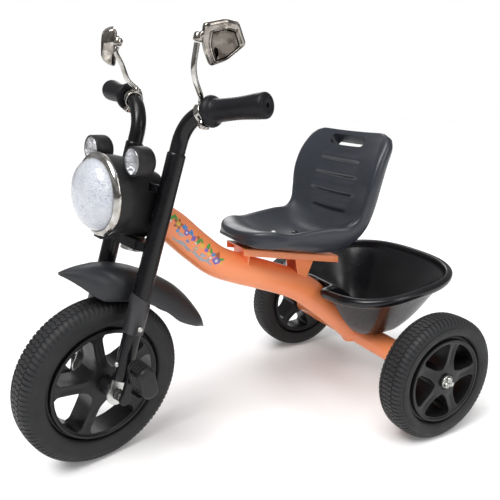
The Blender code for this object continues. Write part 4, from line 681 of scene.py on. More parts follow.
# ---------------------------------------------------------------- fork and bars
def bar_path(sign, count_bend=28, end=GRIP_END_X - 0.006):
    rise = GRIP_RISE[sign]
    stop = math.radians(90) - math.atan(rise)
    pts = [(LEG_X, 0.0, 0.300), (LEG_X, 0.0, 0.330), (LEG_X, 0.0, BAR_BEND_Z)]
    for k in range(1, count_bend + 1):
        a = stop * k / count_bend
        pts.append((LEG_X + BAR_BEND_R * (1 - math.cos(a)), 0.0, BAR_BEND_Z + BAR_BEND_R * math.sin(a)))
    x0, _, z0 = pts[-1]
    for k in range(1, 9):
        x = x0 + (end - x0) * k / 8
        pts.append((x, 0.0, z0 + (x - x0) * rise))
    out = []
    for x, y, z in pts:
        s = max(x - LEG_X - 0.006, 0.0)
        out.append(Vector((sign * x, BAR_SWEEP * s * s / (s + 0.012), z)))
    return out


def cad_bar_path(sign, count_bend=7, end=GRIP_END_X - 0.006):
    """The coarser stations that carry the clamp and the grip."""
    rise = GRIP_RISE[sign]
    stop = math.radians(90) - math.atan(rise)
    pts = [(LEG_X, 0.0, 0.300), (LEG_X, 0.0, BAR_BEND_Z)]
    for k in range(1, count_bend + 1):
        a = stop * k / count_bend
        pts.append((LEG_X + BAR_BEND_R * (1 - math.cos(a)), 0.0, BAR_BEND_Z + BAR_BEND_R * math.sin(a)))
    x0, _, z0 = pts[-1]
    pts.append((end, 0.0, z0 + (end - x0) * rise))
    out = []
    for x, y, z in pts:
        s = max(x - LEG_X - 0.006, 0.0)
        out.append(Vector((sign * x, BAR_SWEEP * s * s / (s + 0.012), z)))
    return out


def fork():
    for sign, side in SIDES:
        x = sign * LEG_X
        zs = [LEG_BOTTOM, LEG_BOTTOM + 0.0006] + list(np.linspace(0.03, LEG_TOP - 0.004, 12)) + [LEG_TOP - 0.0022, LEG_TOP - 0.0008, LEG_TOP]
        radii = [LEG_R - 0.0005, LEG_R] + [LEG_R] * 12 + [LEG_R, LEG_R - 0.0004, LEG_R - 0.0011]
        rings = []
        seg = 48
        for z, r in zip(zs, radii):
            rings.append([(x + r * math.cos(2 * math.pi * k / seg), r * math.sin(2 * math.pi * k / seg), z) for k in range(seg)])
        r = LEG_R - LEG_WALL
        for z in (LEG_TOP, 0.2, LEG_BOTTOM):
            rings.append([(x + r * math.cos(2 * math.pi * k / seg), r * math.sin(2 * math.pi * k / seg), z) for k in range(seg)])
        leg = grid(rings, wrap_rows=True)
        put("fork_leg_tube_" + side, leg, "black_paint", "steering", "fork_leg_" + side, STEERING, angle=45)
        at = LEG_R + GAP
        head = [(0, -at - 0.0034), (0.0016, -at - 0.0032), (0.0030, -at - 0.0024), (0.0038, -at - 0.0010), (0.0040, -at), (0.0024, -at), (0.0024, at), (0.0042, at), (0.0042, at + 0.0034), (0.0030, at + 0.0046), (0.0016, at + 0.0054), (0, at + 0.0056)]
        put("dropout_screw_" + side, lathe(head, 24, axis="Y", offset=(x, 0, BOLT_Z)), "steel", "steering", "dropout_bolt_" + side, STEERING, angle=50)
        rivet_x = LEG_X + LEG_R + 0.0021 + GAP
        pts = [(0, LEG_X + 0.0100), (0.0020, LEG_X + 0.0100), (0.0020, rivet_x), (0.0040, rivet_x), (0.0041, rivet_x + 0.0004), (0.0038, rivet_x + 0.0011), (0.0030, rivet_x + 0.0018), (0.0016, rivet_x + 0.0021), (0.0012, rivet_x + 0.0014), (0, rivet_x + 0.0012)]
        put("fender_rivet_dome_" + side, lathe([(r, sign * h) for r, h in pts], 28, axis="X", offset=(0, 0, RIVET_Z)), "steel", "steering", "fender_rivet_" + side, STEERING, angle=50)
        keep("fork_bush_" + side, "nylon")
        outline = [(-0.0090, 0.038), (-0.0090, LEG_BOTTOM - 0.0006), (-0.0128, LEG_BOTTOM - 0.0010), (-0.0136, LEG_BOTTOM - 0.0030), (-0.0138, 0.0100)] + arc(0, 0, 0.0162, 150, 390, 56) + [(0.0138, 0.0100), (0.0136, LEG_BOTTOM - 0.0030), (0.0128, LEG_BOTTOM - 0.0010), (0.0090, LEG_BOTTOM - 0.0006), (0.0090, 0.038)]
        plate = combine(prism(outline, x - 0.0016, x + 0.0016, "X"), lathe([(0, -0.01), (0.0078, -0.01), (0.0078, 0.01), (0, 0.01)], 32, axis="X", offset=(x, 0, 0)))
        put("dropout_plate_" + side, plate, "steel", "steering", "dropout_" + side, STEERING, angle=35, bevel=0.0004)
        # handlebar, grip
        put("handlebar_tube_" + side, pipe(bar_path(sign), BAR_R, BAR_WALL, 40), "black_paint", "steering", "handlebar_" + side, STEERING, angle=45)
        path = cad_bar_path(sign)
        a, b = path[-2], path[-1]
        axis = (b - a).normalized()
        length = (b - a).length
        start, inner, finish = 0.0015, BAR_R + 0.0002, length + 0.0065
        prof = [(inner, start), (0.0182, start), (0.0194, start + 0.0008), (0.0203, start + 0.0026), (0.0205, start + 0.0044), (0.0200, start + 0.0068), (0.0190, start + 0.0090), (0.0172, start + 0.0108), (0.0158, start + 0.0122), (0.0150, start + 0.0146)]
        body_len = finish - 0.008 - (start + 0.018)
        for k in range(25):
            t = k / 24
            r = 0.01455 - 0.0007 * math.sin(math.pi * min(t * 1.15, 1.0)) + 0.0012 * max(0, t - 0.45) / 0.55
            prof.append((r + 0.00022 * math.cos(2 * math.pi * t * 12), start + 0.018 + body_len * t))
        prof += [(0.0158, finish - 0.0070), (0.0160, finish - 0.0048), (0.0154, finish - 0.0026), (0.0141, finish - 0.0011), (0.0124, finish - 0.0003), (0.0105, finish), (0.0038, finish), (0.0031, finish - 0.0006), (0.0030, finish - 0.0045), (inner, finish - 0.0045)]
        at = STEERING @ Matrix.Translation(a) @ Vector((0, 0, 1)).rotation_difference(axis).to_matrix().to_4x4()
        put("grip_sleeve_" + side, lathe(prof, 48, closed=True), "grip", "steering", "grip_" + side, at, angle=50)
        # mirror clamp, screw and rod
        i = 7
        centre = path[i]
        axis = (path[i + 1] - path[i - 1]).normalized()
        turn = Vector((0, 0, 1)).rotation_difference(axis).to_matrix().to_4x4()
        ring = [(BAR_R + 0.0009, -0.0050), (0.0128, -0.0050), (0.0134, -0.0044), (0.0135, -0.0034), (0.0131, -0.0024), (0.0131, 0.0024), (0.0135, 0.0034), (0.0134, 0.0044), (0.0128, 0.0050), (BAR_R + 0.0009, 0.0050)]
        parts = [moved(lathe(ring, 44, closed=True), Matrix.Translation(centre) @ turn)]
        down = Vector((0, 0, -1)) - axis * axis.dot(Vector((0, 0, -1)))
        down.normalize()
        across = axis.cross(down).normalized()
        for k in (-1, 1):
            ear = centre + across * (0.0028 * k)
            parts.append(pipe([ear + down * 0.0120 - axis * 0.0, ear + down * 0.0150, ear + down * 0.0195, ear + down * 0.0208, ear + down * 0.0213], 0.0044, 0, 20, start=axis, radii=[0.0042, 0.0046, 0.0046, 0.0038, 0.0018]))
        mid = centre + down * 0.0170
        parts.append(pipe([mid - across * 0.0088, mid - across * 0.0084, mid - across * 0.0062, mid - across * 0.0060, mid + across * 0.0060, mid + across * 0.0062, mid + across * 0.0082, mid + across * 0.0086], 0.003, 0, 18, start=axis, radii=[0.0018, 0.0030, 0.0033, 0.0021, 0.0021, 0.0033, 0.0033, 0.0028]))
        parts.append(pipe([centre - down * 0.0122, centre - down * 0.0150, centre - down * 0.0180, centre - down * 0.0187], 0.0048, 0, 24, start=axis, radii=[0.0052, 0.0050, 0.0046, 0.0036]))
        base = centre - down * 0.0160
        if sign > 0:
            rod = [base, (0.0870, -0.0140, 0.4215), (0.0905, -0.0290, 0.4350), (0.0914, -0.0370, 0.4500), (0.0914, -0.0405, 0.4764)]
        else:
            rod = [base, (-0.0868, -0.0130, 0.4270), (-0.0895, -0.0270, 0.4455), (-0.0914, -0.0388, 0.4580), (-0.0914, -0.0392, 0.4662)]
        parts.append(pipe(smooth_path(rod, 44), 0.0036, 0, 24))
        put("mirror_clamp_and_rod_" + side, join(*parts), "chrome", "steering", "mirror_arm_" + side, STEERING, angle=50)
        mirror(sign, side, Vector(rod[-1]) + Vector((0, 0, 0.0003)))
    for node in ("crown_upper", "crown_lower"):
        keep(node, "black_paint")
    for node in ("steering_stem", "stem_nut"):
        keep(node, "steel")


def shield_outline(scale, cut_back=0.18):
    corners = [(-0.48, 0.06), (-0.47, 0.40), (-0.02, 0.51), (0.27, 0.46), (0.51, -0.02), (0.10, -0.39), (-0.25, -0.52), (-0.40, -0.20)]
    out = []
    for k, c in enumerate(corners):
        p, c, n = np.array(corners[k - 1]), np.array(c), np.array(corners[(k + 1) % len(corners)])
        for t in np.linspace(0, 1, 7):
            a = c + (p - c) * cut_back
            b = c + (n - c) * cut_back
            q = a * (1 - t) ** 2 + c * 2 * t * (1 - t) + b * t * t
            out.append(q * (MIRROR_W, MIRROR_H) * scale)
    return np.array(out)


def mirror(sign, side, pivot):
    basis = (Matrix.Rotation(-RAKE, 3, "X") @ Matrix.Rotation(STEER, 3, "Z")).inverted()
    turn = MIRROR_TURN[sign]
    normal = basis @ Vector((math.cos(turn) * 0.955, math.sin(turn) * 0.955, -0.297 if sign > 0 else -0.10)).normalized()
    up = basis @ Vector((0, 0, 1))
    up = (up - normal * up.dot(normal)).normalized()
    right = up.cross(normal).normalized()
    face = STEERING @ Matrix.Translation(pivot) @ Matrix(((right.x, up.x, normal.x, 0), (right.y, up.y, normal.y, 0), (right.z, up.z, normal.z, 0), (0, 0, 0, 1)))
    off = (0.48 * MIRROR_W + 0.0050, 0.0015)
    out = MIRROR_OUT[sign]

    def ring(scale, depth):
        drop = -0.0026 * min(1.0, max(0.0, (0.90 - scale) / 0.14)) if depth > -0.0045 else 0.0
        return [(off[0] + a - 0.4 * drop, off[1] + b + drop, depth + out) for a, b in shield_outline(scale)]

    spec = [(0.30, -MIRROR_D + 0.0006), (0.52, -MIRROR_D + 0.0012), (0.70, -MIRROR_D + 0.0030), (0.83, -MIRROR_D + 0.0062), (0.915, -MIRROR_D * 0.55), (0.965, -0.0088), (0.988, -0.0066), (0.996, -0.0050), (0.996, -0.0030), (0.985, -0.0017), (0.960, -0.0008), (0.900, 0.0000), (0.840, 0.0003), (0.800, 0.0001), (0.775, -0.0007), (0.755, -0.0008), (0.735, 0.0001), (0.710, 0.0006), (0.685, 0.0003), (0.668, -0.0008), (0.655, -0.0030), (0.640, -0.0034)]
    head = grid([ring(s, d) for s, d in spec], caps=(True, True))
    reach = moved(pipe([Vector((0, 0.0055, 0)), Vector((off[0] - 0.42 * MIRROR_W, off[1] + 0.0100, 0.0000))], 0.0042, 0, 20, start=(0, 0, 1)), Matrix.Identity(4))
    at_pivot = face.inverted() @ STEERING @ Matrix.Translation(pivot)
    knob = moved(lathe([(0, 0.0012), (0.0042, 0.0012), (0.0052, 0.0019), (0.0060, 0.0034), (0.0061, 0.0060), (0.0060, 0.0100), (0.0048, 0.0120), (0.0022, 0.0129), (0, 0.0130)], 32), at_pivot)
    put("mirror_shell_" + side, join(head, reach, knob), "mirror_chrome", side + "_mirror", "mirror_head_" + side, face, angle=48)
    glass = grid([ring(0.636, -0.0033), ring(0.636, -0.0020), ring(0.622, -0.0013), ring(0.600, -0.0011)], caps=(True, True))
    put("mirror_pane_" + side, glass, "mirror", side + "_mirror", "mirror_glass_" + side, face, angle=40)


# ---------------------------------------------------------------- lamps
HOUSING_ROWS = (
    (0.0335, 0.14, 0.0468, 0.2165, 0.3205, 2.15),
    (0.0190, 0.08, 0.0408, 0.2178, 0.3180, 2.7),
    (0.0060, 0.03, 0.0377, 0.2180, 0.3135, 3.3),
    (-0.0020, 0.0, 0.0373, 0.2180, 0.3115, 3.5),
)


def housing_rings(shrink, seg):
    to_steering = Matrix.Translation(LAMP_CENTRE) @ Matrix.Rotation(math.pi / 2 + LAMP_PITCH, 4, "X")
    rings = []
    for depth, r in ((0.0, BEZEL_R - 0.0035), (-0.0100, BEZEL_R - 0.0030), (-0.0200, BEZEL_R - 0.0038)):
        rings.append([to_steering @ Vector(((r - shrink) * math.cos(2 * math.pi * k / seg), (r - shrink) * math.sin(2 * math.pi * k / seg), depth)) for k in range(seg)])
    for fwd, lean, half, low, high, power in HOUSING_ROWS:
        ring = []
        for k in range(seg):
            c, q = math.cos(2 * math.pi * k / seg), math.sin(2 * math.pi * k / seg)
            m = (abs(c) ** power + abs(q) ** power) ** (-1 / power)
            z = (low + high) / 2 + ((high - low) / 2 - shrink) * q * m
            ring.append(Vector(((half - shrink) * c * m, -fwd - lean * (z - 0.268), z)))
        rings.append(ring)
    return np.array(rings)


def lamps():
    outer, inner = through(housing_rings(0.0, 96), 6), through(housing_rings(0.0022, 96), 3)
    shell = grid(np.concatenate([outer, inner[::-1]]), wrap_rows=True)
    shell = combine(shell, prism([(-0.0215, 0.2855), (0.0300, 0.2855), (0.0300, 0.2965), (-0.0215, 0.2965)], -0.06, 0.06, "X"))
    shell = combine(shell, lathe([(0, 0.20), (0.0192, 0.20), (0.0192, 0.2600), (0, 0.2600)], 48))
    put("lamp_housing_moulding", shell, "black_plastic", "steering", "headlight_housing", STEERING, angle=38)
    clip = [(-BEZEL_R - 0.0040, -0.0240), (-BEZEL_R - 0.0040, 0.0020), (-BEZEL_R - 0.0026, 0.0036), (-BEZEL_R - 0.0006, 0.0036), (-BEZEL_R - 0.0006, -0.0006), (-BEZEL_R + 0.0050, -0.0006), (-BEZEL_R + 0.0050, -0.0240)]
    put("lamp_clip", prism(clip, -0.0085, 0.0085, "X"), "black_plastic", "steering", (), LAMP, angle=35, bevel=0.0007)
    ring = [(BEZEL_R - 0.0030, 0.0003), (BEZEL_R - 0.0006, 0.0003), (BEZEL_R + 0.0001, 0.0012), (BEZEL_R + 0.0002, 0.0026), (BEZEL_R - 0.0003, 0.0042), (BEZEL_R - 0.0018, 0.0060), (BEZEL_R - 0.0030, 0.0069), (BEZEL_R - 0.0038, 0.0072), (BEZEL_R - 0.0046, 0.0076), (BEZEL_R - 0.0058, 0.0083), (BEZEL_R - 0.0066, 0.0085), (LENS_R + 0.0010, 0.0084), (LENS_R + 0.0005, 0.0079), (LENS_R + 0.0004, 0.0003)]
    put("lamp_bezel_ring", lathe(ring, 128, closed=True), "chrome", "steering", "headlight_bezel", LAMP, angle=55)
    bowl_out = [(LENS_R - 0.0010, 0.0010), (0.0420, -0.0090), (0.0330, -0.0200), (0.0220, -0.0275), (0.0120, -0.0310), (0.0, -0.0320)]
    bowl_in = [(LENS_R - 0.0030, 0.0010), (0.0400, -0.0085), (0.0310, -0.0190), (0.0205, -0.0258), (0.0110, -0.0290), (0.0, -0.0300)]
    put("lamp_reflector_bowl", lathe(bowl_out[::-1] + bowl_in, 64), "reflector", "steering", "headlight_reflector", LAMP, angle=50)
    # the dome's outside is smooth near the bezel and round over the middle; its small facets come only from the lens
    # material's bump
    rings = []
    count, seg = 30, 120
    for i in range(count):
        w = math.pi / 2 * i / count
        for_ring = []
        for k in range(seg):
            a = 2 * math.pi * k / seg
            r = LENS_R * math.cos(w)
            z = 0.0075 + LENS_DOME * math.sin(w)
            for_ring.append((r * math.cos(a), r * math.sin(a), z))
        rings.append(for_ring)
    top = [(0.0, 0.0, 0.0075 + LENS_DOME)]
    skirt = [[(LENS_R * math.cos(2 * math.pi * k / seg), LENS_R * math.sin(2 * math.pi * k / seg), z) for k in range(seg)] for z in (0.0014, 0.0060)]
    inner = []
    for i in range(count - 1, -1, -2):
        w = math.pi / 2 * i / count
        r, z = (LENS_R - 0.0025) * math.cos(w), 0.0075 + (LENS_DOME - 0.0025) * math.sin(w)
        inner.append([(r * math.cos(2 * math.pi * k / seg), r * math.sin(2 * math.pi * k / seg), z) for k in range(seg)])
    inner.append([((LENS_R - 0.0025) * math.cos(2 * math.pi * k / seg), (LENS_R - 0.0025) * math.sin(2 * math.pi * k / seg), 0.0014) for k in range(seg)])
    loops = [[Vector(p) for p in r] for r in inner[::-1] + skirt[:0]]
    dome = [Vector((0, 0, 0.0075 + LENS_DOME - 0.0025))]
    bm = rings_to_faces(bmesh.new(), [dome] + [[Vector(p) for p in r] for r in inner] + [[Vector(p) for p in r] for r in skirt] + [[Vector(p) for p in r] for r in rings] + [[Vector(top[0])]], False, False)
    put("lamp_dome_lens", bm, "lens", "steering", "headlight_lens", LAMP, angle=60)
    spot_c = (-0.0651, 0.3185)
    up = (spot_c[1] - LAMP_CENTRE[2]) * math.cos(LAMP_PITCH) - (spot_c[0] - LAMP_CENTRE[1]) * math.sin(LAMP_PITCH)
    fwd = -(spot_c[0] - LAMP_CENTRE[1]) * math.cos(LAMP_PITCH) - (spot_c[1] - LAMP_CENTRE[2]) * math.sin(LAMP_PITCH)
    for sign, side in SIDES:
        at = LAMP @ Matrix.Translation((sign * SPOT_X, up, fwd + 0.0005))
        out = [(SPOT_R - 0.0006, 0.0), (SPOT_R, -0.0006), (SPOT_R + 0.0004, -0.0100), (SPOT_R + 0.0005, -0.0180), (SPOT_R + 0.0001, -0.0215), (SPOT_R - 0.0012, -0.0243), (0.0155, -0.0265), (0.0120, -0.0276), (0.0060, -0.0280), (0.0, -0.0280)]
        ins = [(SPOT_R - 0.0018, 0.0), (SPOT_R - 0.0020, -0.0215), (0.0140, -0.0255), (0.0, -0.0260)]
        put("spot_barrel_moulding_" + side, lathe(out[::-1] + ins, 56), "black_plastic", "steering", "spot_barrel_" + side, at, angle=45)
        lens = [(0.0, 0.0040), (0.0045, 0.0037), (0.0090, 0.0029), (0.0135, 0.0015), (SPOT_R - 0.0026, 0.0002), (SPOT_R - 0.0024, -0.0004), (SPOT_R - 0.0024, -0.0020), (0.0, -0.0020)]
        put("spot_lens_cap_" + side, lathe(lens, 48), "clear", "steering", "spot_lens_" + side, at, angle=50)
        cone = []
        seg = 36
        for r, z in ((SPOT_R - 0.0023, -0.0022), (0.0130, -0.0075), (0.0088, -0.0120), (0.0046, -0.0150), (0.0026, -0.0160)):
            cone.append([(r * (1 + (0.05 if k % 2 else -0.05) * (r < 0.016)) * math.cos(2 * math.pi * k / seg), r * (1 + (0.05 if k % 2 else -0.05) * (r < 0.016)) * math.sin(2 * math.pi * k / seg), z) for k in range(seg)])
        put("spot_reflector_" + side, join(grid(cone, caps=(False, True)), lathe([(0.0, -0.0060), (0.0014, -0.0066), (0.0022, -0.0085), (0.0022, -0.0160), (0.0, -0.0160)], 20)), "reflector", "steering", (), at, angle=20)


# ---------------------------------------------------------------- front fender
FENDER_ANGLES = (57.0, 69.0, 80.0, 96.0, 109.0, 121.0, 135.0, 146.0, 153.0)
FENDER_RIDGE = (0.1855, 0.1807, 0.1770, 0.1725, 0.1722, 0.1755, 0.1805, 0.1870, 0.1905)
FENDER_EDGE = (0.1830, 0.1420, 0.1330, 0.1325, 0.1335, 0.1360, 0.1430, 0.1640, 0.1880)
FENDER_HALF = (0.0040, 0.0285, 0.0335, 0.0338, 0.0338, 0.0338, 0.0325, 0.0260, 0.0110)


def fender():
    along, across = 96, 64
    table = np.array([FENDER_ANGLES, FENDER_RIDGE, FENDER_EDGE, FENDER_HALF]).T
    fine = through(table, 12)
    rows = np.stack([np.interp(np.linspace(0, 1, along + 1), np.linspace(0, 1, len(fine)), fine[:, k]) for k in range(4)], axis=1)
    crease = np.array([(65, 171), (52, 168), (38, 164), (15, 151), (-5, 152), (-40, 154)]) / 1000.0

    def sheet(inset):
        out = []
        for i, (ang, ridge, edge, half) in enumerate(rows):
            a = math.radians(ang)
            row = []
            for j in range(across + 1):
                t = -1 + 2 * j / across
                x = half * math.sin(t * math.pi / 2)
                r = edge + (ridge - edge) * max(math.cos(t * math.pi / 2), 0.0) ** 0.62
                fwd, up = r * math.cos(a), r * math.sin(a)
                line = float(np.interp(-fwd, -crease[:, 0], crease[:, 1]))
                above = up - line
                lift = 0.0
                if -0.040 < fwd < 0.075:
                    fade = min(1.0, (0.075 - fwd) / 0.015, (fwd + 0.040) / 0.03)
                    lift = 0.0011 * fade / (1 + math.exp(-above / 0.0007)) * min(1.0, abs(t) * 2.5)
                shrink = inset
                scale = 1 - (shrink + 0.0011 - lift) / r
                row.append(((half - shrink if half > shrink else half * 0.4) / half * x * (1 - (0.0011 - lift) / max(half, 0.005)), -fwd * scale, up * scale))
            out.append(row)
        return np.array(out)

    outside, inside = sheet(0.0), sheet(0.0022)
    top = outside.reshape(-1, 3)
    cols = across + 1
    faces = []
    n = len(top)
    for i in range(along):
        for j in range(across):
            a = i * cols + j
            faces.append((a, a + 1, a + cols + 1, a + cols))
            faces.append((n + a, n + a + cols, n + a + cols + 1, n + a + 1))
    rim_line = [j for j in range(cols)] + [i * cols + across for i in range(1, along + 1)] + [along * cols + j for j in range(across - 1, -1, -1)] + [i * cols for i in range(along - 1, 0, -1)]
    mesh = bpy.data.meshes.new("fender")
    base = len(rim_line)
    verts = np.concatenate([top, inside.reshape(-1, 3)])
    middle = (verts[rim_line] + verts[[r + n for r in rim_line]]) / 2
    centre = verts[rim_line]
    mids = middle + (centre - verts[[r + n for r in rim_line]]) * 0.0 + np.array([0, 0, -0.0006])
    verts = np.concatenate([verts, mids])
    for k in range(base):
        k2 = (k + 1) % base
        faces.append((rim_line[k], rim_line[k2], 2 * n + k2, 2 * n + k))
        faces.append((2 * n + k, 2 * n + k2, n + rim_line[k2], n + rim_line[k]))
    mesh.from_pydata(verts.tolist(), [], faces)
    bm = bmesh.new()
    bm.from_mesh(mesh)
    bpy.data.meshes.remove(mesh)
    put("fender_moulding", bm, "fender", "steering", "front_fender", STEERING, angle=60)
    for sign, side in SIDES:
        seg, rings = 48, []
        r_in, r_out = LEG_R + 0.0004, LEG_R + 0.0021

        def top_z(y):
            return 0.1400 - 0.50 * y

        for r, low, lift in ((r_in, 0.0910, 0.0), (r_out - 0.0006, 0.0910, None), (r_out, 0.0916, None), (r_out, None, -0.0006), (r_out - 0.0006, None, 0.0), (r_in, None, 0.0)):
            ring = []
            for k in range(seg):
                a = 2 * math.pi * k / seg
                x, y = r * math.cos(a), r * math.sin(a)
                ring.append((sign * LEG_X + x, y, low if low is not None else top_z(y) + (lift or 0.0)))
            rings.append(ring)
        sleeve = grid(rings, wrap_rows=True)
        x0, x1 = sorted((sign * 0.0322, sign * 0.0372))
        tie = prism([(-0.0060, 0.1335), (0.0060, 0.1335), (0.0060, 0.1368), (-0.0060, 0.1395)], x0, x1, "X")
        put("fender_sleeve_" + side, join(sleeve, tie), "sleeve", "steering", (), STEERING, angle=45)


# ---------------------------------------------------------------- frame
def head_to_frame(y, z):
    return FRONT_Y + y * math.cos(RAKE) + z * math.sin(RAKE), FRONT_Z - y * math.sin(RAKE) + z * math.cos(RAKE)


start_y, start_z = head_to_frame(0.003, 0.2530)
MAIN_POINTS = [(0, start_y, start_z), (0, -0.138, 0.3535), (0, -0.112, 0.3360), (0, -0.078, 0.303), (0, -0.044, 0.274), (0, -0.006, 0.256), (0, 0.040, 0.238), (0, 0.085, 0.219), (0, 0.118, 0.200), (0, 0.158, 0.168), (0, 0.198, 0.133), (0, REAR_Y - 0.006, REAR_R + 0.004)]
PLATE_FRONT, PLATE_REAR = (-0.010, 0.2962), (0.167, 0.2592)


def plate_z(y):
    return PLATE_FRONT[1] + (PLATE_REAR[1] - PLATE_FRONT[1]) / (PLATE_REAR[0] - PLATE_FRONT[0]) * (y - PLATE_FRONT[0])


def tube_z(y):
    return float(np.interp(y, [q[1] for q in MAIN_POINTS], [q[2] for q in MAIN_POINTS]))


def seam(path, radius, centre, axis, other_r, from_start, count=72):
    """The closed line where the tube along path leaves another round tube."""
    fr = frames(path, (1, 0, 0))
    order = fr if from_start else fr[::-1]
    c, a = Vector(centre), Vector(axis).normalized()
    line = []
    for k in range(count):
        ang = 2 * math.pi * k / count
        last = None
        for p, _, n, b in order:
            q = p + (n * math.cos(ang) + b * math.sin(ang)) * radius
            d = q - c
            dist = (d - a * d.dot(a)).length
            if dist > other_r and last is not None:
                t = (other_r - last[1]) / (dist - last[1]) if dist != last[1] else 0.0
                line.append(last[0] + (q - last[0]) * min(max(t, 0.0), 1.0))
                break
            last = (q, dist)
        else:
            line.append(last[0])
    return line


def chassis():
    path = smooth_path(MAIN_POINTS, 150)
    tube = pipe(path, MAIN_R, MAIN_WALL, 64)
    head_cut = moved(lathe([(0, 0.18), (HEAD_R - 0.0009, 0.18), (HEAD_R - 0.0009, 0.34), (0, 0.34)], 48), DATUM.inverted() @ HEAD)
    tube = combine(tube, head_cut)
    tube = combine(tube, lathe([(0, -0.1), (BEAM_R + GAP, -0.1), (BEAM_R + GAP, 0.1), (0, 0.1)], 64, axis="X", offset=(0, REAR_Y, REAR_R)))
    put("main_tube", tube, "orange", "frame", "frame_tube", DATUM, angle=45)
    r = HEAD_R
    prof = [(r - 0.0018, HEAD_LOW + 0.0004), (r - 0.0014, HEAD_LOW), (r - 0.0005, HEAD_LOW), (r, HEAD_LOW + 0.0005), (r, HEAD_HIGH - 0.0005), (r - 0.0005, HEAD_HIGH), (r - 0.0014, HEAD_HIGH), (r - 0.0018, HEAD_HIGH - 0.0004)]
    put("head_tube", lathe(prof, 56, closed=True), "orange", "frame", (), HEAD, angle=50)
    head_axis = (DATUM.inverted() @ HEAD).to_3x3() @ Vector((0, 0, 1))
    head_point = (DATUM.inverted() @ HEAD) @ Vector((0, 0, 0.25))
    put("head_weld", bead(seam(path, MAIN_R, head_point, head_axis, HEAD_R, True), 0.0022), "orange", "frame", (), DATUM, angle=60)
    put("axle_weld", bead(seam(path, MAIN_R, (0, REAR_Y, REAR_R), (1, 0, 0), BEAM_R, False), 0.0017, seed=2.0), "orange", "frame", (), DATUM, angle=60)
    beam = [(BEAM_R - 0.0018, -BEAM_HALF + 0.0004), (BEAM_R - 0.0014, -BEAM_HALF), (BEAM_R - 0.0004, -BEAM_HALF), (BEAM_R, -BEAM_HALF + 0.0006), (BEAM_R, BEAM_HALF - 0.0006), (BEAM_R - 0.0004, BEAM_HALF), (BEAM_R - 0.0014, BEAM_HALF), (BEAM_R - 0.0018, BEAM_HALF - 0.0004)]
    put("axle_beam_tube", lathe(beam, 64, closed=True, axis="X", offset=(0, REAR_Y, REAR_R)), "orange", "frame", "rear_beam", DATUM, angle=50)
    for sign, side in SIDES:
        keep("beam_plug_" + side, "black_plastic")
    keep("rear_axle", "steel")
    for node in ("head_bush_lower", "head_bush_upper"):
        keep(node, "nylon")
    # the folded seat bracket
    half, t = 0.0300, 0.0022
    corner_out = arc(-half + 0.0030, -0.0030, 0.0030, 180, 90, 7)
    section = [(-half, -0.0120)] + corner_out + [(-a, b) for a, b in reversed(corner_out)] + [(half, -0.0120), (half - t, -0.0120)]
    corner_in = arc(half - 0.0030, -0.0030, 0.0008, 0, 90, 5)
    section += corner_in + [(-a, b) for a, b in reversed(corner_in)] + [(-half + t, -0.0120)]
    rings = [[(x, y, plate_z(y) + z) for x, z in section] for y in (PLATE_FRONT[0], PLATE_FRONT[0] + 0.0008, 0.04, 0.08, 0.12, PLATE_REAR[0] - 0.0008, PLATE_REAR[0])]
    parts = [grid(rings, caps=(True, True))]
    saddle = smooth_path(MAIN_POINTS, 60)
    for k, (y0, y1) in enumerate(((0.0000, 0.0026), (0.1220, 0.1246))):
        depth = plate_z(y0) - tube_z(y0) - 0.005
        shape = [(-half + 0.0012, 0.0), (half - 0.0012, 0.0), (0.0190, -depth), (-0.0190, -depth)]
        if k:
            shape = [(-half + 0.0012, 0.0), (half - 0.0012, 0.0), (half - 0.0012, -0.0100), (-half + 0.0012, -0.0100)]
        parts.append(grid([[(x, y, plate_z(y) - 0.0012 + z) for x, z in shape] for y in (y0, y1)], caps=(True, True)))
    for sign, side in SIDES:
        cheek = [(0.0900, plate_z(0.0900) - 0.0012), (0.0985, tube_z(0.0985) + 0.004), (0.1065, tube_z(0.1065) + 0.004), (0.1320, plate_z(0.1320) - 0.0012)]
        x0, x1 = sorted((sign * 0.0140, sign * 0.0164))
        parts.append(prism(cheek, x0, x1, "X"))
    put("seat_bracket_pressing", join(*parts), "orange", "frame", "seat_bracket", DATUM, angle=38, bevel=0.0005)
    beads = []
    for sign in (1, -1):
        for y0, y1 in ((0.0985, 0.1065),):
            line = []
            for k in range(9):
                y = y0 + (y1 - y0) * k / 8
                z = tube_z(y) + math.sqrt(MAIN_R ** 2 - 0.0152 ** 2) * 1.06
                line.append((sign * 0.0172, y, z))
            beads.append(pipe(line, 0.0014, 0, 10))
    line = []
    for k in range(25):
        a = math.radians(52 + 76 * k / 24)
        line.append((MAIN_R * math.cos(a), -0.0008, tube_z(0.0) + MAIN_R * 1.07 * math.sin(a)))
    beads.append(pipe(line, 0.0017, 0, 10, start=(0, 1, 0)))
    put("bracket_welds", join(*beads), "orange", "frame", (), DATUM, angle=60)


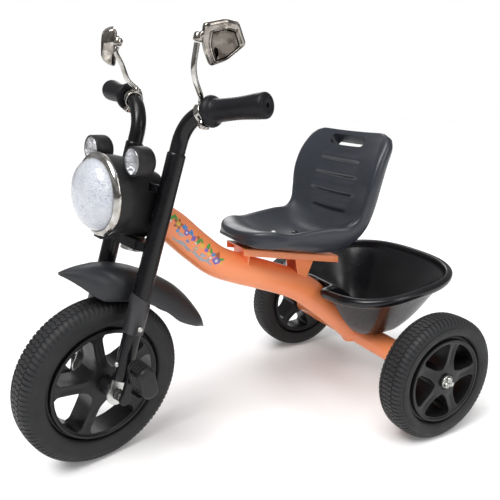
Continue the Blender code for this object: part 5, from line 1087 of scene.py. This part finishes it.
# ---------------------------------------------------------------- seat
SEAT_ROWS = (
    ((-0.0224, 0.3155), 0.0270, (-0.0190, 0.3152), 0.0060),
    ((-0.0210, 0.3192), 0.0415, (-0.0140, 0.3184), 0.0120),
    ((-0.0165, 0.3232), 0.0550, (-0.0055, 0.3228), 0.0185),
    ((-0.0030, 0.3248), 0.0660, (0.0070, 0.3266), 0.0250),
    ((0.0130, 0.3205), 0.0735, (0.0230, 0.3270), 0.0235),
    ((0.0360, 0.3105), 0.0795, (0.0440, 0.3240), 0.0180),
    ((0.0700, 0.3002), 0.0835, (0.0790, 0.3275), 0.0175),
    ((0.1050, 0.2975), 0.0885, (0.1110, 0.3300), 0.0210),
    ((0.1340, 0.3010), 0.0930, (0.1360, 0.3300), 0.0225),
    ((0.1570, 0.3180), 0.0980, (0.1500, 0.3400), 0.0210),
    ((0.1700, 0.3470), 0.1030, (0.1560, 0.3600), 0.0200),
    ((0.1790, 0.3830), 0.1065, (0.1620, 0.3920), 0.0200),
    ((0.1880, 0.4150), 0.1055, (0.1740, 0.4230), 0.0200),
    ((0.1985, 0.4400), 0.1010, (0.1900, 0.4460), 0.0190),
    ((0.2060, 0.4530), 0.0925, (0.2005, 0.4570), 0.0150),
    ((0.2100, 0.4590), 0.0790, (0.2060, 0.4610), 0.0090),
)
RIBS = ((0.4110, 0.050), (0.3865, 0.052), (0.3585, 0.053), (0.3330, 0.045))


def seat():
    table = np.array([[m[0], m[1], h, e[0], e[1], d] for m, h, e, d in SEAT_ROWS])
    fine = through(table, 22)
    mids = fine[:, :2]
    tangent = np.gradient(mids, axis=0)
    tangent /= np.linalg.norm(tangent, axis=1)[:, None]
    outward = np.stack([tangent[:, 1], -tangent[:, 0]], axis=1)
    nose = np.clip((0.034 - mids[:, 0]) / 0.034, 0, 1)[:, None]
    outward = outward * (1 - nose) + np.array([[0.06, -1.0]]) * nose
    outward /= np.linalg.norm(outward, axis=1)[:, None]
    run = np.concatenate([[0], np.cumsum(np.linalg.norm(np.diff(mids, axis=0), axis=1))])
    upper = mids[:, 1] > 0.325
    rib_s = [float(np.interp(z, mids[upper][:, 1], run[upper])) for z, _ in RIBS]
    loops = []
    for i in range(len(fine)):
        mid_p, edge_p, w, d, out = mids[i], fine[i, 3:5], fine[i, 2], fine[i, 5], outward[i]
        loop = []
        for x in (-1.0, -0.72, -0.36, 0.0, 0.36, 0.72, 1.0):
            p = mid_p + (edge_p - mid_p) * abs(x) ** 2.4
            loop.append((w * x, *p))
        low = edge_p + out * d * 0.70
        for x, f in ((1.055, 0), (0.93, 1), (0.60, 1), (0.0, 1), (-0.60, 1), (-0.93, 1), (-1.055, 0)):
            p = low if not f else mid_p + (edge_p - mid_p) * min(abs(x) ** 3, 1.0) * 0.36 + out * d
            loop.append((w * x, *p))
        ring = soften(loop, 4)
        k = np.arange(len(ring)) / 16.0
        inner = np.clip((k - 0.4) / 0.5, 0, 1) * np.clip((5.9 - k) / 0.5, 0, 1)
        push = np.zeros(len(ring))
        s = run[i]
        for rs, (z, half) in zip(rib_s, RIBS):
            side = 1 / (1 + np.exp((np.abs(ring[:, 0]) - half) / 0.0032))
            push += 0.0026 * math.exp(-((s - rs) / (0.0062 if s < rs else 0.0022)) ** 2) * side
            push -= 0.0020 * math.exp(-((s - rs - 0.0068) / 0.0046) ** 2) * side
        ring[:, 1:] += out[None, :] * (push * inner)[:, None]
        loops.append(ring)
    first, last = loops[0], loops[-1]

    def close(ring, direction):
        extra = []
        c = ring.mean(axis=0)
        for scale, step in ((0.93, 0.0012), (0.80, 0.0022), (0.55, 0.0029), (0.25, 0.0031)):
            q = c + (ring - c) * np.array([0.5 + 0.5 * scale, scale, scale])
            q = q + np.array([0, *direction]) * step
            extra.append(q)
        return extra

    loops = close(first, np.array([-0.12, 0.0]))[::-1] + loops + close(last, tangent[-1] * 0.25)
    shell = grid(np.array(loops), caps=(True, True))
    slot_at = Matrix.Translation((0, 0.2040, 0.4405)) @ Matrix.Rotation(math.radians(38), 4, "X")

    def slot_outline(grow):
        hw, hh = 0.0450 + grow, 0.0085 + grow
        return [(hw - hh + a, b) for a, b in arc(0, 0, hh, -90, 90, 25)] + [(-hw + hh + a, b) for a, b in arc(0, 0, hh, 90, 270, 25)]

    shell = combine(shell, moved(prism(slot_outline(0.0), -0.040, 0.040, "Z"), slot_at))
    for y in (0.0600, 0.1000):
        shell = combine(shell, lathe([(0, 0.20), (0.0034, 0.20), (0.0034, 0.36), (0, 0.36)], 28, offset=(0, y, 0)))
    put("seat_moulding", shell, "seat", "frame", "seat_shell", DATUM, angle=50)
    pad = [(0.0050, plate_z(0.0050) + GAP), (0.1250, plate_z(0.1250) + GAP), (0.1250, 0.2830), (0.0900, 0.2840), (0.0350, 0.2970), (0.0050, 0.3100)]
    put("seat_foot_pad", prism(pad, -0.0285, 0.0285, "X"), "seat", "frame", (), DATUM, angle=35, bevel=0.0015)
    for y, place in ((0.0600, "front"), (0.1000, "rear")):
        z = float(np.interp(y, [r[0][0] for r in SEAT_ROWS[:8]], [r[0][1] for r in SEAT_ROWS[:8]])) + 0.0026
        low = plate_z(y) - 0.0038
        bolt = [(0, z + 0.0018), (0.0008, z + 0.0018), (0.0012, z + 0.0025), (0.0026, z + 0.0024), (0.0042, z + 0.0019), (0.0052, z + 0.0010), (0.0056, z), (0.0031, z), (0.0031, low), (0.0056, low), (0.0056, low - 0.0045), (0.0031, low - 0.0045), (0.0031, low - 0.0080), (0, low - 0.0080)]
        put("seat_screw_" + place, lathe(bolt, 30, offset=(0, y, 0)), "steel" if place == "front" else "black_paint", "frame", "seat_bolt_" + place, DATUM, angle=45)


# ---------------------------------------------------------------- basket
TOP_LINE = np.array(smooth_path(MAIN_POINTS, 60))[:, 1:]
_run = np.gradient(TOP_LINE, axis=0)
_run /= np.linalg.norm(_run, axis=1)[:, None]
TOP_LINE = TOP_LINE + np.stack([-_run[:, 1], _run[:, 0]], axis=1) * MAIN_R


def plan_curve(t, z, grow):
    _, cy, half_w, half_l = [f + (r - f) * t for f, r in zip(BASKET_FLOOR, BASKET_RIM)]
    half_w, half_l = half_w + grow, half_l + grow
    w = 0.0320 + 0.0060 * t - grow
    top_y = float(np.interp(-(z - 0.0110 * t), -TOP_LINE[:, 1], TOP_LINE[:, 0]))
    back = top_y + 0.0060 + 0.0060 * t - grow
    squareness = 5.0 - 1.9 * t

    def edge(a):
        c, s = math.cos(a), math.sin(a)
        power = squareness if s < 0 else 2.6
        r = (abs(c) ** power + abs(s) ** power) ** (-1 / power)
        return half_w * c * r, cy + half_l * s * r

    front = cy - half_l
    side = [(w * 0.5, back), (w - 0.006, back), (w - 0.001, back - 0.001), (w, back - 0.006), (w, (back + front) / 2), (w, front + 0.008), (w + 0.003, front + 0.003), (w + 0.009, front + 0.0008)]
    first = -math.atan2(1.0, (w + 0.014) / half_w)
    count = 36
    side += [edge(first + (math.pi / 2 - first) * (k / count) ** 0.95) for k in range(count)]
    return np.array([(0.0, back)] + side + [edge(math.pi / 2)] + [(-x, y) for x, y in reversed(side)])


def basket():
    floor, rise = BASKET_FLOOR[0], BASKET_RIM[0] - BASKET_FLOOR[0]

    def ring(t, z, grow):
        tilt = BASKET_TILT * t / (BASKET_RIM[3] + 0.009)
        xy = soften(plan_curve(t, z, grow), 2)
        return np.column_stack([xy[:, 0], xy[:, 1], z + tilt * (xy[:, 1] - BASKET_RIM[1])])

    def widen(h):
        return h + 0.2141 * h * (1 - h) + 0.2785 * h * (1 - h) * (1 - 2 * h)

    rings = []
    for inset, lift in ((0.0060, 0.0), (0.0032, 0.0001), (0.0014, 0.0007), (0.0004, 0.0018)):
        rings.append(ring(0.0, floor + lift, -inset))
    for h in np.linspace(0.035, 0.925, 26):
        rings.append(ring(widen(h), floor + rise * h, 0.0))
    z = BASKET_RIM[0]
    for lift, grow in ((-0.0060, 0.0003), (-0.0058, 0.0016), (-0.0050, 0.0036), (-0.0036, 0.0056), (-0.0014, 0.0074), (0.0010, 0.0084), (0.0034, 0.0089), (0.0056, 0.0089), (0.0076, 0.0083), (0.0093, 0.0070), (0.0104, 0.0052), (0.0110, 0.0030), (0.0109, 0.0010), (0.0102, -0.0006), (0.0088, -0.0017), (0.0068, -0.0023), (0.0040, -0.0026)):
        rings.append(ring(1.0, z + lift, grow))
    for h in np.linspace(1.0, 0.06, 26):
        rings.append(ring(widen(h), floor + rise * h + 0.0006, -BASKET_WALL))
    for inset, lift in ((0.0030, 0.0058), (0.0046, 0.0040), (0.0072, 0.0030), (0.0105, 0.0026)):
        rings.append(ring(0.0, floor + lift, -inset))
    put("basket_moulding", grid(np.array(rings), caps=(True, True)), "basket", "frame", "basket", DATUM, angle=50)


# ---------------------------------------------------------------- decal
def decal():
    """Small stuck-on shapes on the main tube: leaves, dots, pennants and a wavy line."""
    path = smooth_path(MAIN_POINTS, 400)
    fr = frames(path, (1, 0, 0))
    run = np.concatenate([[0], np.cumsum([(Vector(b) - Vector(a)).length for a, b in zip(path, path[1:])])])

    def spot(s, h, lift=0.00018):
        """A point on the tube, s along it and h round it, in metres."""
        i = min(int(np.searchsorted(run, s)), len(fr) - 1)
        p, _, n, b = fr[i]
        upward = b if b.z > 0 else -b
        a = h / MAIN_R
        return p + (n * math.cos(a) + upward * math.sin(a)) * (MAIN_R + lift)

    def shape(points, s0, h0, turn, size):
        """A flat outline as a fan of strips that follow the tube."""
        c, q = math.cos(turn), math.sin(turn)
        bm = bmesh.new()
        rings = []
        for f in (1.0, 0.66, 0.33):
            rings.append([(x * f, y * f) for x, y in points])
        loops = []
        for ring in rings:
            loops.append([bm.verts.new(spot(s0 + size * (x * c - y * q), h0 + size * (x * q + y * c))) for x, y in ring])
        mid = bm.verts.new(spot(s0, h0))
        n = len(points)
        for a, b in zip(loops, loops[1:]):
            for k in range(n):
                bm.faces.new((a[k], a[(k + 1) % n], b[(k + 1) % n], b[k]))
        for k in range(n):
            bm.faces.new((loops[-1][k], loops[-1][(k + 1) % n], mid))
        return bm

    leaf = [(math.cos(a) * (1.0 if math.cos(a) > 0 else 0.9), 0.42 * math.sin(a) * (1 - 0.35 * math.cos(a))) for a in np.linspace(0, 2 * math.pi, 20, endpoint=False)]
    dot = [(math.cos(a), math.sin(a)) for a in np.linspace(0, 2 * math.pi, 22, endpoint=False)]
    diamond = [(1, 0), (0.5, 0.4), (0, 0.8), (-0.5, 0.4), (-1, 0), (-0.5, -0.4), (0, -0.8), (0.5, -0.4)]
    pennant = [(-1, -0.7), (-0.3, -0.72), (0.4, -0.74), (1, -0.75), (0.5, -0.1), (0, 0.55), (-0.2, 0.8), (-0.6, 0.05)]
    petal = [(math.cos(a) * (0.72 + 0.28 * math.cos(5 * a)), math.sin(a) * (0.72 + 0.28 * math.cos(5 * a))) for a in np.linspace(0, 2 * math.pi, 40, endpoint=False)]
    wave = []
    for k in range(17):
        x = -1 + 2 * k / 16
        wave.append((x, 0.075 * math.sin(x * 9) + 0.020))
    wave += [(x, y - 0.04) for x, y in reversed(wave)]
    items = {"leaf": [], "sky": [], "violet": [], "brown": [], "white": [], "yellow": [], "grey": []}
    place = [
        ("leaf", leaf, 0.0350, 0.0118, 0.8, 0.0062), ("leaf", leaf, 0.0405, 0.0150, 2.2, 0.0054), ("brown", petal, 0.0470, 0.0080, 0.3, 0.0086), ("yellow", dot, 0.0470, 0.0080, 0.0, 0.0034),
        ("white", dot, 0.0345, 0.0058, 0.0, 0.0019), ("sky", diamond, 0.0580, 0.0096, 0.4, 0.0058), ("violet", dot, 0.0645, 0.0050, 0.0, 0.0042), ("white", dot, 0.0645, 0.0050, 0.0, 0.0018), ("sky", pennant, 0.0715, 0.0105, 0.2, 0.0056),
        ("violet", diamond, 0.0790, 0.0052, 1.2, 0.0056), ("brown", dot, 0.0850, 0.0110, 0.0, 0.0028), ("leaf", leaf, 0.0885, 0.0068, 1.3, 0.0066), ("leaf", leaf, 0.0940, 0.0108, 2.4, 0.0052),
        ("yellow", petal, 0.0975, 0.0050, 0.6, 0.0050), ("grey", leaf, 0.0600, -0.0022, 0.15, 0.0058), ("grey", petal, 0.0740, -0.0036, -0.1, 0.0044), ("violet", dot, 0.0740, -0.0036, 0.0, 0.0016), ("sky", dot, 0.0515, -0.0010, 0.0, 0.0026), ("leaf", leaf, 0.1075, 0.0112, 1.5, 0.0062),
        ("violet", dot, 0.1070, 0.0042, 0.0, 0.0030), ("leaf", leaf, 0.1150, 0.0086, 2.3, 0.0052), ("yellow", dot, 0.1135, 0.0026, 0.0, 0.0028), ("grey", petal, 0.0920, -0.0044, 0.1, 0.0046), ("yellow", dot, 0.0920, -0.0044, 0.0, 0.0015), ("grey", leaf, 0.1080, -0.0050, 0.2, 0.0060), ("grey", dot, 0.1190, -0.0052, 0.0, 0.0026), ("sky", petal, 0.1215, 0.0052, 0.1, 0.0046),
        ("brown", pennant, 0.1300, 0.0098, -0.2, 0.0072), ("violet", diamond, 0.1310, 0.0004, 0.3, 0.0082), ("white", dot, 0.1310, 0.0004, 0.0, 0.0024), ("leaf", leaf, 0.1390, 0.0066, 0.6, 0.0050), ("yellow", dot, 0.1405, 0.0010, 0.0, 0.0022),
        ("grey", wave, 0.0900, -0.0112, 0.02, 0.0390), ("white", dot, 0.0860, 0.0020, 0.0, 0.0016), ("white", dot, 0.1200, -0.0010, 0.0, 0.0016),
    ]
    for colour, outline, s, h, turn, size in place:
        items[colour].append(shape(outline, s, h, turn, size))
    # shapes that lie on others are a little higher
    for colour, lift in (("grey", 0.0), ("leaf", 0.00002), ("brown", 0.00004), ("sky", 0.00006), ("violet", 0.00008), ("yellow", 0.00012), ("white", 0.00016)):
        out = bmesh.new()
        for bm in items[colour]:
            if lift:
                for v in bm.verts:
                    axis_point = min(range(0, len(path), 4), key=lambda i: (Vector(path[i]) - v.co).length_squared)
                    v.co += (v.co - Vector(path[axis_point])).normalized() * lift
            mesh = bpy.data.meshes.new("d")
            bm.to_mesh(mesh)
            bm.free()
            out.from_mesh(mesh)
            bpy.data.meshes.remove(mesh)
        put("tube_decal_" + colour, out, "decal_" + colour, "frame", (), DATUM, angle=60)


# ---------------------------------------------------------------- set, light and camera
def studio():
    world = bpy.data.worlds.new("studio")
    bpy.context.scene.world = world
    world.use_nodes = True
    tree = world.node_tree
    back = tree.nodes["Background"]
    coord = tree.nodes.new("ShaderNodeTexCoord")
    split = tree.nodes.new("ShaderNodeSeparateXYZ")
    tree.links.new(coord.outputs["Generated"], split.inputs[0])
    ramp = tree.nodes.new("ShaderNodeValToRGB")
    stops = ((0.0, 0.20), (0.47, 0.22), (0.50, 0.10), (0.56, 0.17), (0.66, 0.42), (0.78, 0.20), (1.0, 0.55))
    ramp.color_ramp.elements[0].position, ramp.color_ramp.elements[0].color = stops[0][0], (stops[0][1],) * 3 + (1,)
    ramp.color_ramp.elements[1].position, ramp.color_ramp.elements[1].color = stops[-1][0], (stops[-1][1],) * 3 + (1,)
    for place, value in stops[1:-1]:
        stop = ramp.color_ramp.elements.new(place)
        stop.color = (value, value * 0.99, value * 0.98, 1)
    half = tree.nodes.new("ShaderNodeMath")
    half.operation = "MULTIPLY_ADD"
    half.inputs[1].default_value, half.inputs[2].default_value = 0.5, 0.5
    tree.links.new(split.outputs["Z"], half.inputs[0])
    tree.links.new(half.outputs[0], ramp.inputs[0])
    path = tree.nodes.new("ShaderNodeLightPath")
    mix = tree.nodes.new("ShaderNodeMix")
    mix.data_type = "RGBA"
    tree.links.new(path.outputs["Is Camera Ray"], mix.inputs[0])
    tree.links.new(ramp.outputs["Color"], mix.inputs[6])
    mix.inputs[7].default_value = (1.0, 1.0, 1.0, 1.0)
    tree.links.new(mix.outputs[2], back.inputs["Color"])
    back.inputs["Strength"].default_value = 1.0
    floor_mat = bpy.data.materials.new("studio_floor")
    floor_mat.use_nodes = True
    bsdf = floor_mat.node_tree.nodes["Principled BSDF"]
    bsdf.inputs["Base Color"].default_value = (0.93, 0.93, 0.93, 1.0)
    bsdf.inputs["Roughness"].default_value = 1.0
    bsdf.inputs["Specular IOR Level"].default_value = 0.0
    bsdf.inputs["Emission Color"].default_value = (1.0, 1.0, 1.0, 1.0)
    bsdf.inputs["Emission Strength"].default_value = 0.10
    bm = bmesh.new()
    bmesh.ops.create_grid(bm, x_segments=8, y_segments=8, size=6.0)
    mesh = bpy.data.meshes.new("floor")
    bm.to_mesh(mesh)
    bm.free()
    floor = bpy.data.objects.new("studio_floor", mesh)
    floor.location = (0, 0, -0.0004)
    mesh.materials.append(floor_mat)
    bpy.context.scene.collection.objects.link(floor)

    def area(name, loc, target, size, power, colour=(1, 1, 1)):
        light = bpy.data.lights.new(name, "AREA")
        light.shape = "RECTANGLE"
        light.size, light.size_y = size
        light.energy = power
        light.color = colour
        obj = bpy.data.objects.new(name, light)
        obj.location = loc
        obj.rotation_euler = (Vector(target) - Vector(loc)).to_track_quat("-Z", "Y").to_euler()
        bpy.context.scene.collection.objects.link(obj)

    area("key", (0.7, -1.5, 2.1), (0, 0, 0.25), (0.9, 0.7), 20)
    area("strip", (1.9, 0.9, 1.3), (0, 0, 0.3), (0.5, 1.6), 12)
    area("back", (-1.8, 0.8, 1.5), (0, 0, 0.3), (0.8, 1.6), 12)
    sun = bpy.data.lights.new("overhead", "SUN")
    sun.energy, sun.angle = 2.1, math.radians(40)
    obj = bpy.data.objects.new("overhead", sun)
    obj.rotation_euler = (Vector((0, 0, 0)) - Vector((0.35, -0.7, 1.6))).to_track_quat("-Z", "Y").to_euler()
    bpy.context.scene.collection.objects.link(obj)


def camera():
    data = bpy.data.cameras.new("camera")
    obj = bpy.data.objects.new("camera", data)
    bpy.context.scene.collection.objects.link(obj)
    data.sensor_width = 36.0
    data.lens = 42.18
    data.clip_start = 0.02
    place = Vector((0.7833161, -0.40444388, 0.53695002)) + SHIFT
    forward = Vector((-0.84703518, 0.45495874, -0.27485259)).normalized()
    roll = -0.0071
    right = forward.cross(Vector((0, 0, 1))).normalized()
    up = right.cross(forward).normalized()
    right2 = right * math.cos(roll) + up * math.sin(roll)
    up2 = right2.cross(forward).normalized()
    obj.matrix_world = Matrix(((right2.x, up2.x, -forward.x, place.x), (right2.y, up2.y, -forward.y, place.y), (right2.z, up2.z, -forward.z, place.z), (0, 0, 0, 1)))
    bpy.context.scene.camera = obj


camera()
wheels()
cranks()
fork()
lamps()
fender()
chassis()
seat()
basket()
decal()
studio()
bpy.context.scene.view_settings.view_transform = "Standard"
